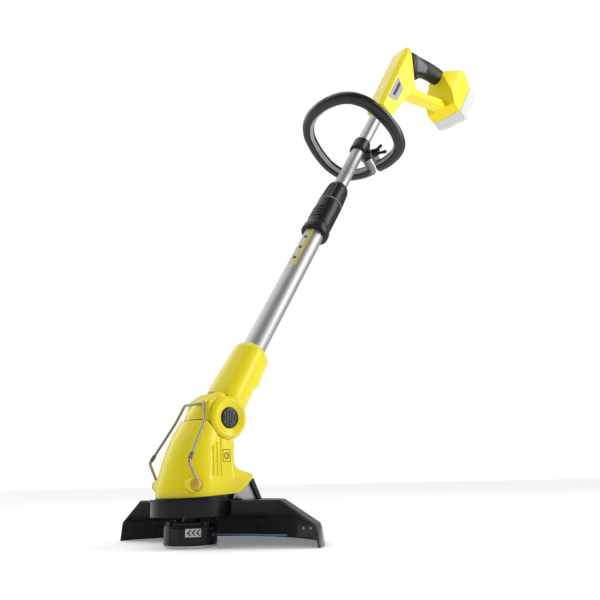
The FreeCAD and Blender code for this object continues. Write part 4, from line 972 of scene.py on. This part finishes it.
@dataclass
class RearHousing:
    """The yellow rear housing: column, strut and battery shoe, with its bare badge.

    Attributes:
        column: (u, half width in front, half width behind, front v, back v) along the column.
        strut: (v, u) corners of the strut.
        shoe: rows of the battery shoe.
        plate: (v, u) corners of the badge.
        bar: (v, u) corners of its plain bar.
    """

    column: Rows = (
        (803, 17.5, 24, -21, 20), (882, 17.5, 24, -24, 30.5), (915, 17.5, 24, -25.2, 38), (934, 17.5, 24, -26, 45),
        (946, 17.5, 24, -26.4, 47), (958, 17.5, 24, -26.8, 33.5), (1014, 17.5, 24, -28.5, -3),
        (1033, 15, 20, -25, -12), (1043, 9, 12, -21, -16))
    strut: Outline = ((28, 905), (40, 925), (52, 937), (136, 1008), (150, 1020), (150, 1046), (138, 1034), (62, 967),
                      (47, 959), (28, 966))
    shoe: Rows = ((97, 21, 21, 1088, 1106, 3), (104, 25, 25, 1078, 1113, 3), (128, 39, 39, 1044, 1139, 3),
                  (134, 41, 41, 1037, 1145, 3), (141, 41, 41, 1029, 1149.5, 3), (149, 41, 41, 1020.3, 1144, 3),
                  (176, 41, 41, 1020.3, 1128, 3))
    plate: Outline = ((-12, 840), (-8, 837), (9, 848), (13, 853), (14.5, 897), (12, 903), (-9, 915), (-12, 911))
    bar: Outline = ((-4.5, 855), (3.0, 859), (2.5, 903), (-5.0, 905))

    def build_column(self) -> None:
        """Build the column with its bevelled front edges."""
        rings = []
        for u, narrow, wide, front, back in self.column:
            flat = [(narrow, front), (wide, front + min(9.0, 0.4 * (back - front))), (wide, back)]
            rings.append([(x, v, u) for x, v in flat + [(-x, v) for x, v in flat[::-1]]])
        loft(Piece("housing_column", YELLOW, "handle", Space.POLE, 2.6, 4,
                   stands_for=("rear_housing_left", "rear_housing_right")), rings)

    def build(self) -> None:
        """Build the column, the strut, the shoe and the badge."""
        self.build_column()
        prism(Piece("housing_strut", YELLOW, "handle", Space.POLE, 4.0, 5), self.strut, -17, 17)
        loft(Piece("battery_shoe", YELLOW, "handle", Space.POLE, 2.4, 4), box_rings(self.shoe))
        badge = Piece("badge", SATIN_GREY_AND_SHEEN, "handle", Space.POLE, 0.5, 2, stands_for=("badge_plate",))
        prism(badge, self.plate, 23.3, 24.5)
        prism(Piece("badge_bar", BLACK, "handle", Space.POLE, 0.3, 2), self.bar, 24.2, 24.9)


@dataclass
class Grip:
    """The rear grip, lighter grey on its sides near the trigger, and the trigger.

    Attributes:
        sections: (centre v, centre u, facing, half height, half width) of the ovals along the grip.
        columns: points in each oval.
        lighter_rows: the rows between which the sides are paler.
        trigger: (v, u) corners of the trigger.
    """

    sections: Rows = (
        (5, 1020, 0.76, 31, 20.5), (19, 1032.5, 0.80, 29.5, 20.5), (36, 1047.5, 0.82, 26, 19.5),
        (58, 1068.5, 0.83, 22.5, 18.5), (94, 1092.5, 0.88, 21.5, 18), (119, 1101.5, 0.92, 20.5, 18))
    columns: int = 64
    lighter_rows: tuple[int, int] = (9, 30)
    trigger: Outline = ((26, 1046), (24, 1029), (28, 1016), (35, 1010), (43, 1009), (49, 1014), (54, 1027),
                        (60, 1046))

    def build(self) -> None:
        """Build the grip, its lighter sides and the trigger."""
        angle = around(self.columns)
        rings = []
        for v, u, facing, tall, wide in catmull(self.sections, 12):
            rise = math.sqrt(1 - facing ** 2)
            across = wide * np.sign(np.cos(angle)) * np.abs(np.cos(angle)) ** 0.9
            up = tall * np.sign(np.sin(angle)) * np.abs(np.sin(angle)) ** 0.95
            rings.append(np.stack([across, v - rise * up, u + facing * up], -1))
        piece = Piece("grip_cover", BLACK_RUBBER, "handle", Space.POLE, crease_deg=60, stands_for=("rear_grip",))
        self.lighten_sides(loft(piece, rings))
        blade = Piece("trigger_blade", BLACK_GLOSS, "trigger_body", Space.POLE, 1.6, 4, stands_for=("trigger",))
        prism(blade, self.trigger, -7, 7)

    def lighten_sides(self, cover: bpy.types.Object) -> None:
        """Colour the sides of the grip near the trigger a lighter grey.

        Args:
            cover: the grip's object.
        """
        first, last = self.lighter_rows
        cover.data.materials.append(material_of(DARK_GREY))
        for polygon in cover.data.polygons:
            row, column = divmod(min(polygon.vertices), self.columns)
            angle = 2 * math.pi * (column + 0.5) / self.columns
            on_side = abs(math.cos(angle)) > 0.3 and -0.78 < math.sin(angle) < 0.55 - 0.03 * (row - first - 1)
            if len(polygon.vertices) == 4 and first < row < last and on_side:
                polygon.material_index = 1


@dataclass
class Battery:
    """The pale slide-on battery.

    Attributes:
        case: rows of the case.
        panel: lowest v and u and highest v and u of the raised panel on each side.
    """

    case: Rows = ((176.4, 41, 41, 1023, 1129, 3), (200, 41, 41, 1023, 1134, 3), (208.2, 37, 37, 1028, 1130, 3))
    panel: tuple[float, float, float, float] = (181, 1036, 196, 1118)

    def build(self) -> None:
        """Build the case and its side panels."""
        loft(Piece("battery_shell", WHITE, "battery", Space.POLE, 1.6, 3, stands_for=("battery_case",)),
             box_rings(self.case))
        for side, name in SIDES:
            prism(Piece("battery_panel_" + name, WHITE, "battery", Space.POLE, 0.3, 2), rectangle(*self.panel),
                  side * 40.6, side * 41.3)


@dataclass
class Spool:
    """The line spool's housing with its finger recesses and direction label.

    Attributes:
        radius: outer radius of the housing.
        label_angle: angle of the label's middle about the spool's axis.
        label_half: half the label's length.
        label_low: z of its lower edge.
        label_high: z of its upper edge.
    """

    radius: float = 36.8
    label_angle: float = math.radians(-28)
    label_half: float = 10.5
    label_low: float = 15.5
    label_high: float = 26.0

    def build_housing(self) -> None:
        """Build the housing: smooth lower wall, a seam, and shallow finger recesses."""
        profile = [(20, 29.4), (20, 26.5), (34.2, 26.5), (34.2, 4.2), (36.4, 4.2), (36.8, 4.8)]
        profile += [(36.8, z) for z in np.linspace(6, 26, 24)]
        profile += [(36.5, 26.6), (36.1, 27.0), (36.1, 27.6), (36.5, 28.0), (36.3, 29.1), (35.6, 29.5)]

        def ripple(radius: np.ndarray, height: np.ndarray, angle: np.ndarray) -> np.ndarray:
            """Sink four finger recesses."""
            dip = smoothstep(np.cos(4 * (angle - self.label_angle - math.pi / 4)), 0.80, 0.92)
            return radius - 0.8 * dip * band(height, 7, 24, 2.0) * (radius > 35)

        lathe(Piece("spool_case", BLACK, "spool", stands_for=("spool_housing",), crease_deg=40), profile, steps=180,
              ripple=ripple)

    def print_on_wall(self, piece: Piece, outline: Outline, outer: float) -> None:
        """Lay a thin patch on the spool's wall.

        Args:
            piece: what to make.
            outline: (arc length from the label's middle, z) corners.
            outer: how far it stands out of the wall.
        """
        wrap(piece, (self.radius + outer - 0.35, self.radius + outer), self.label_angle, outline, self.radius)

    def build_label(self) -> None:
        """Build the grey label with three arrowheads that give the direction of turning."""
        half, low, high = self.label_half, self.label_low, self.label_high
        edges = [(x, low) for x in np.linspace(-half, half, 14)] + [(x, high) for x in np.linspace(half, -half, 14)]
        self.print_on_wall(Piece("direction_label", GREY, "spool"), edges, 0.3)
        z = (low + high) / 2
        for index in range(3):
            x = -6.4 + 6.0 * index
            arrow = [(x - 2.0, z), (x + 2.2, z + 3.9), (x + 4.4, z + 3.9), (x + 0.4, z), (x + 4.4, z - 3.9),
                     (x + 2.2, z - 3.9)]
            self.print_on_wall(Piece("direction_arrow_%d" % index, BLACK, "spool"), arrow, 0.5)

    def build(self) -> None:
        """Build the spool's housing and label."""
        self.build_housing()
        self.build_label()


@dataclass
class Guard:
    """The debris guard: flat top, bevel and skirt swept round the spool, with dark painted shade for its inner
    windows, and its rear rib.

    Attributes:
        start: first angle of the sweep about the spool's axis.
        sweep_angle: angle that it covers.
        profile: (radius, z) corners of its section.
        windows_deg: angles of the inner windows.
        window: (radius, z) corners of a window's section.
    """

    start: float = math.radians(30)
    sweep_angle: float = math.radians(153)
    windows_deg: Sequence[float] = (46, 66, 112, 150, 163)
    window: Outline = ((180.4, 18.5), (179.6, 18.5), (181.2, 7.5), (182.0, 7.5))
    profile: Outline = (
        (56.4, 61), (132, 61), (180, 29), (182.2, 24.5), (182.6, 23.2), (186, 0.3), (183.3, 0.3), (180.2, 21.5),
        (177.4, 27.8), (131, 58.4), (56.4, 58.4))

    def build(self) -> None:
        """Build the guard, the painted shade of its inner windows and the rear rib."""
        turn = np.linspace(self.start, self.start + self.sweep_angle, 150)
        loft(Piece("guard_shell", BLACK_GLOSS, "head", bevel_mm=0.5, bevel_steps=2, stands_for=("debris_guard",)),
             self.turned(self.profile, turn))
        for index, degrees in enumerate(self.windows_deg):
            middle = math.radians(degrees)
            # Painted shade: each window is a thin matt black sheet on the inner wall, standing in for the dark inside
            # the opening.
            loft(Piece("guard_window_%d" % index, WINDOW_SHADE, "head"),
                 self.turned(self.window, (middle - 0.028, middle + 0.028)))
        self.build_rib()

    @staticmethod
    def turned(section: Outline, angles: Sequence[float]) -> list[list[tuple[float, float, float]]]:
        """Return a section at each angle about the spool's axis.

        Args:
            section: (radius, z) corners.
            angles: the angles.

        Returns:
            One ring for each angle.
        """
        return [[(r * math.cos(a), r * math.sin(a), z) for r, z in section] for a in angles]

    def build_rib(self) -> None:
        """Build the rear rib with its pale cheeks."""
        rib = [(62, 61), (62, 69.6), (67, 69.6), (92, 90.2), (95.5, 90.2), (111, 61)]
        prism(Piece("rear_rib", BLACK, "head", bevel_mm=0.8, stands_for=("guard_gusset",)), rib, -14, 14)
        edge = [(88, 86.9), (92, 90.2), (95.5, 90.2), (111, 61), (103.5, 61)]
        prism(Piece("rib_edge", BLACK, "head", bevel_mm=0.8), edge, -20, 20)
        cheek = [(62, 61.2), (62, 69.3), (67.2, 69.3), (88.5, 86.6), (102.5, 61.2)]
        for side, name in SIDES:
            prism(Piece("rib_cheek_" + name, GREY, "head", bevel_mm=0.4), cheek, side * 13.5, side * 16.2)


# ------------------------------------------------------------------ studio


@dataclass
class Studio:
    """Floor, lights and camera.

    Attributes:
        floor_half_m: half the floor's width.
        sky: strength of the even surround that lights the part.
        backdrop: brightness of the surround where the camera sees it.
        key_strength: strength of the broad key light.
        key_way: direction in which the key light shines.
        key_spread: angle over which it spreads.
        softboxes: (name, place, what it faces, width and height, watts) of each softbox.
        lens_mm: the camera's focal length on a 36 mm sensor.
        camera_at: where the camera stands, in metres.
        camera_right: direction to the right of the picture.
        camera_back: direction from what it sees to the camera.
    """

    floor_half_m: float = 40.0
    sky: float = 0.38
    backdrop: float = 1.0
    key_strength: float = 1.5
    key_way: Sequence[float] = (0.75, 0.35, -1.3)
    key_spread: float = math.radians(80)
    softboxes: Sequence[tuple] = (
        ("right_strip", (1.7, 1.7, 1.4), (0, 0.35, 0.5), (0.9, 2.4), 48.0),
        ("left_strip", (-1.9, -0.6, 1.2), (0, 0.3, 0.5), (0.9, 2.2), 9.0))
    lens_mm: float = 38.98
    camera_at: Sequence[float] = (0.8096, -0.5264, 0.0812)
    camera_right: Sequence[float] = (0.6707, 0.7415, -0.0202)
    camera_back: Sequence[float] = (0.7101, -0.6495, -0.2719)

    def build(self) -> None:
        """Build the floor, the surround, the softboxes and the camera."""
        self.build_floor()
        self.build_sky()
        for softbox in self.softboxes:
            self.build_softbox(*softbox)
        self.build_sun()
        self.build_camera()

    def build_floor(self) -> None:
        """Add a plain pale floor as part of the stage."""
        half = self.floor_half_m
        mesh = bpy.data.meshes.new("floor")
        mesh.from_pydata([(-half, -half, 0), (half, -half, 0), (half, half, 0), (-half, half, 0)], [], [(0, 1, 2, 3)])
        floor = add_object("floor", mesh)
        mesh.materials.append(material_of(Finish("pale_floor_paint", "floor", "#fbfbfb", 0.6, glow=0.2)))

    def build_sky(self) -> None:
        """Set the even white surround."""
        world = bpy.data.worlds.new("studio")
        bpy.context.scene.world = world
        world.use_nodes = True
        tree = world.node_tree
        tree.nodes.clear()
        white = (1.0, 1.0, 1.0, 1.0)
        lighting = add_node(tree, "ShaderNodeBackground", Color=white, Strength=self.sky)
        seen = add_node(tree, "ShaderNodeBackground", Color=white, Strength=self.backdrop)
        rays = add_node(tree, "ShaderNodeLightPath")
        choice = add_node(tree, "ShaderNodeMixShader")
        output = add_node(tree, "ShaderNodeOutputWorld")
        tree.links.new(rays.outputs["Is Camera Ray"], choice.inputs[0])
        tree.links.new(lighting.outputs["Background"], choice.inputs[1])
        tree.links.new(seen.outputs["Background"], choice.inputs[2])
        tree.links.new(choice.outputs["Shader"], output.inputs["Surface"])

    def build_sun(self) -> None:
        """Add the broad key light from high on the left."""
        data = bpy.data.lights.new("key", "SUN")
        data.energy = self.key_strength
        data.angle = self.key_spread
        lamp = add_object("key", data)
        lamp.rotation_euler = Vector(self.key_way).to_track_quat("-Z", "Y").to_euler()

    def build_softbox(self, name: str, at: Sequence[float], towards: Sequence[float], size: Sequence[float],
                      power: float) -> None:
        """Add one rectangular softbox.

        Args:
            name: object name.
            at: where it hangs, in metres.
            towards: what it faces.
            size: width and height in metres.
            power: watts.
        """
        data = bpy.data.lights.new(name, "AREA")
        data.shape = "RECTANGLE"
        data.size, data.size_y = size
        data.energy = power
        lamp = add_object(name, data)
        lamp.location = at
        lamp.rotation_euler = (Vector(towards) - Vector(at)).to_track_quat("-Z", "Y").to_euler()

    def build_camera(self) -> None:
        """Place the camera low in front of the tool's right side, looking slightly up."""
        data = bpy.data.cameras.new("camera")
        data.lens = self.lens_mm
        data.sensor_width = 36.0
        camera = add_object("camera", data)
        right, back = (Vector(way).normalized() for way in (self.camera_right, self.camera_back))
        up = back.cross(right).normalized()
        turn = Matrix((right, up, back)).transposed().to_4x4()
        camera.matrix_world = Matrix.Translation(self.camera_at) @ turn
        bpy.context.scene.camera = camera


# ------------------------------------------------------------------ assembly


def main() -> None:
    """Dress the CAD frame, add the pieces and set the studio."""
    logging.basicConfig(level=logging.INFO)
    bpy.context.scene.view_settings.view_transform = "Standard"
    dress_cad_nodes()
    for part in (Spool(), Guard(), Head(), PlantGuard(), Knuckle(), Pole(), LoopHandle(), RearHousing(), Grip(),
                 Battery()):
        log.info("building %s", type(part).__name__)
        part.build()
    Studio().build()


if __name__ == "__main__":
    main()
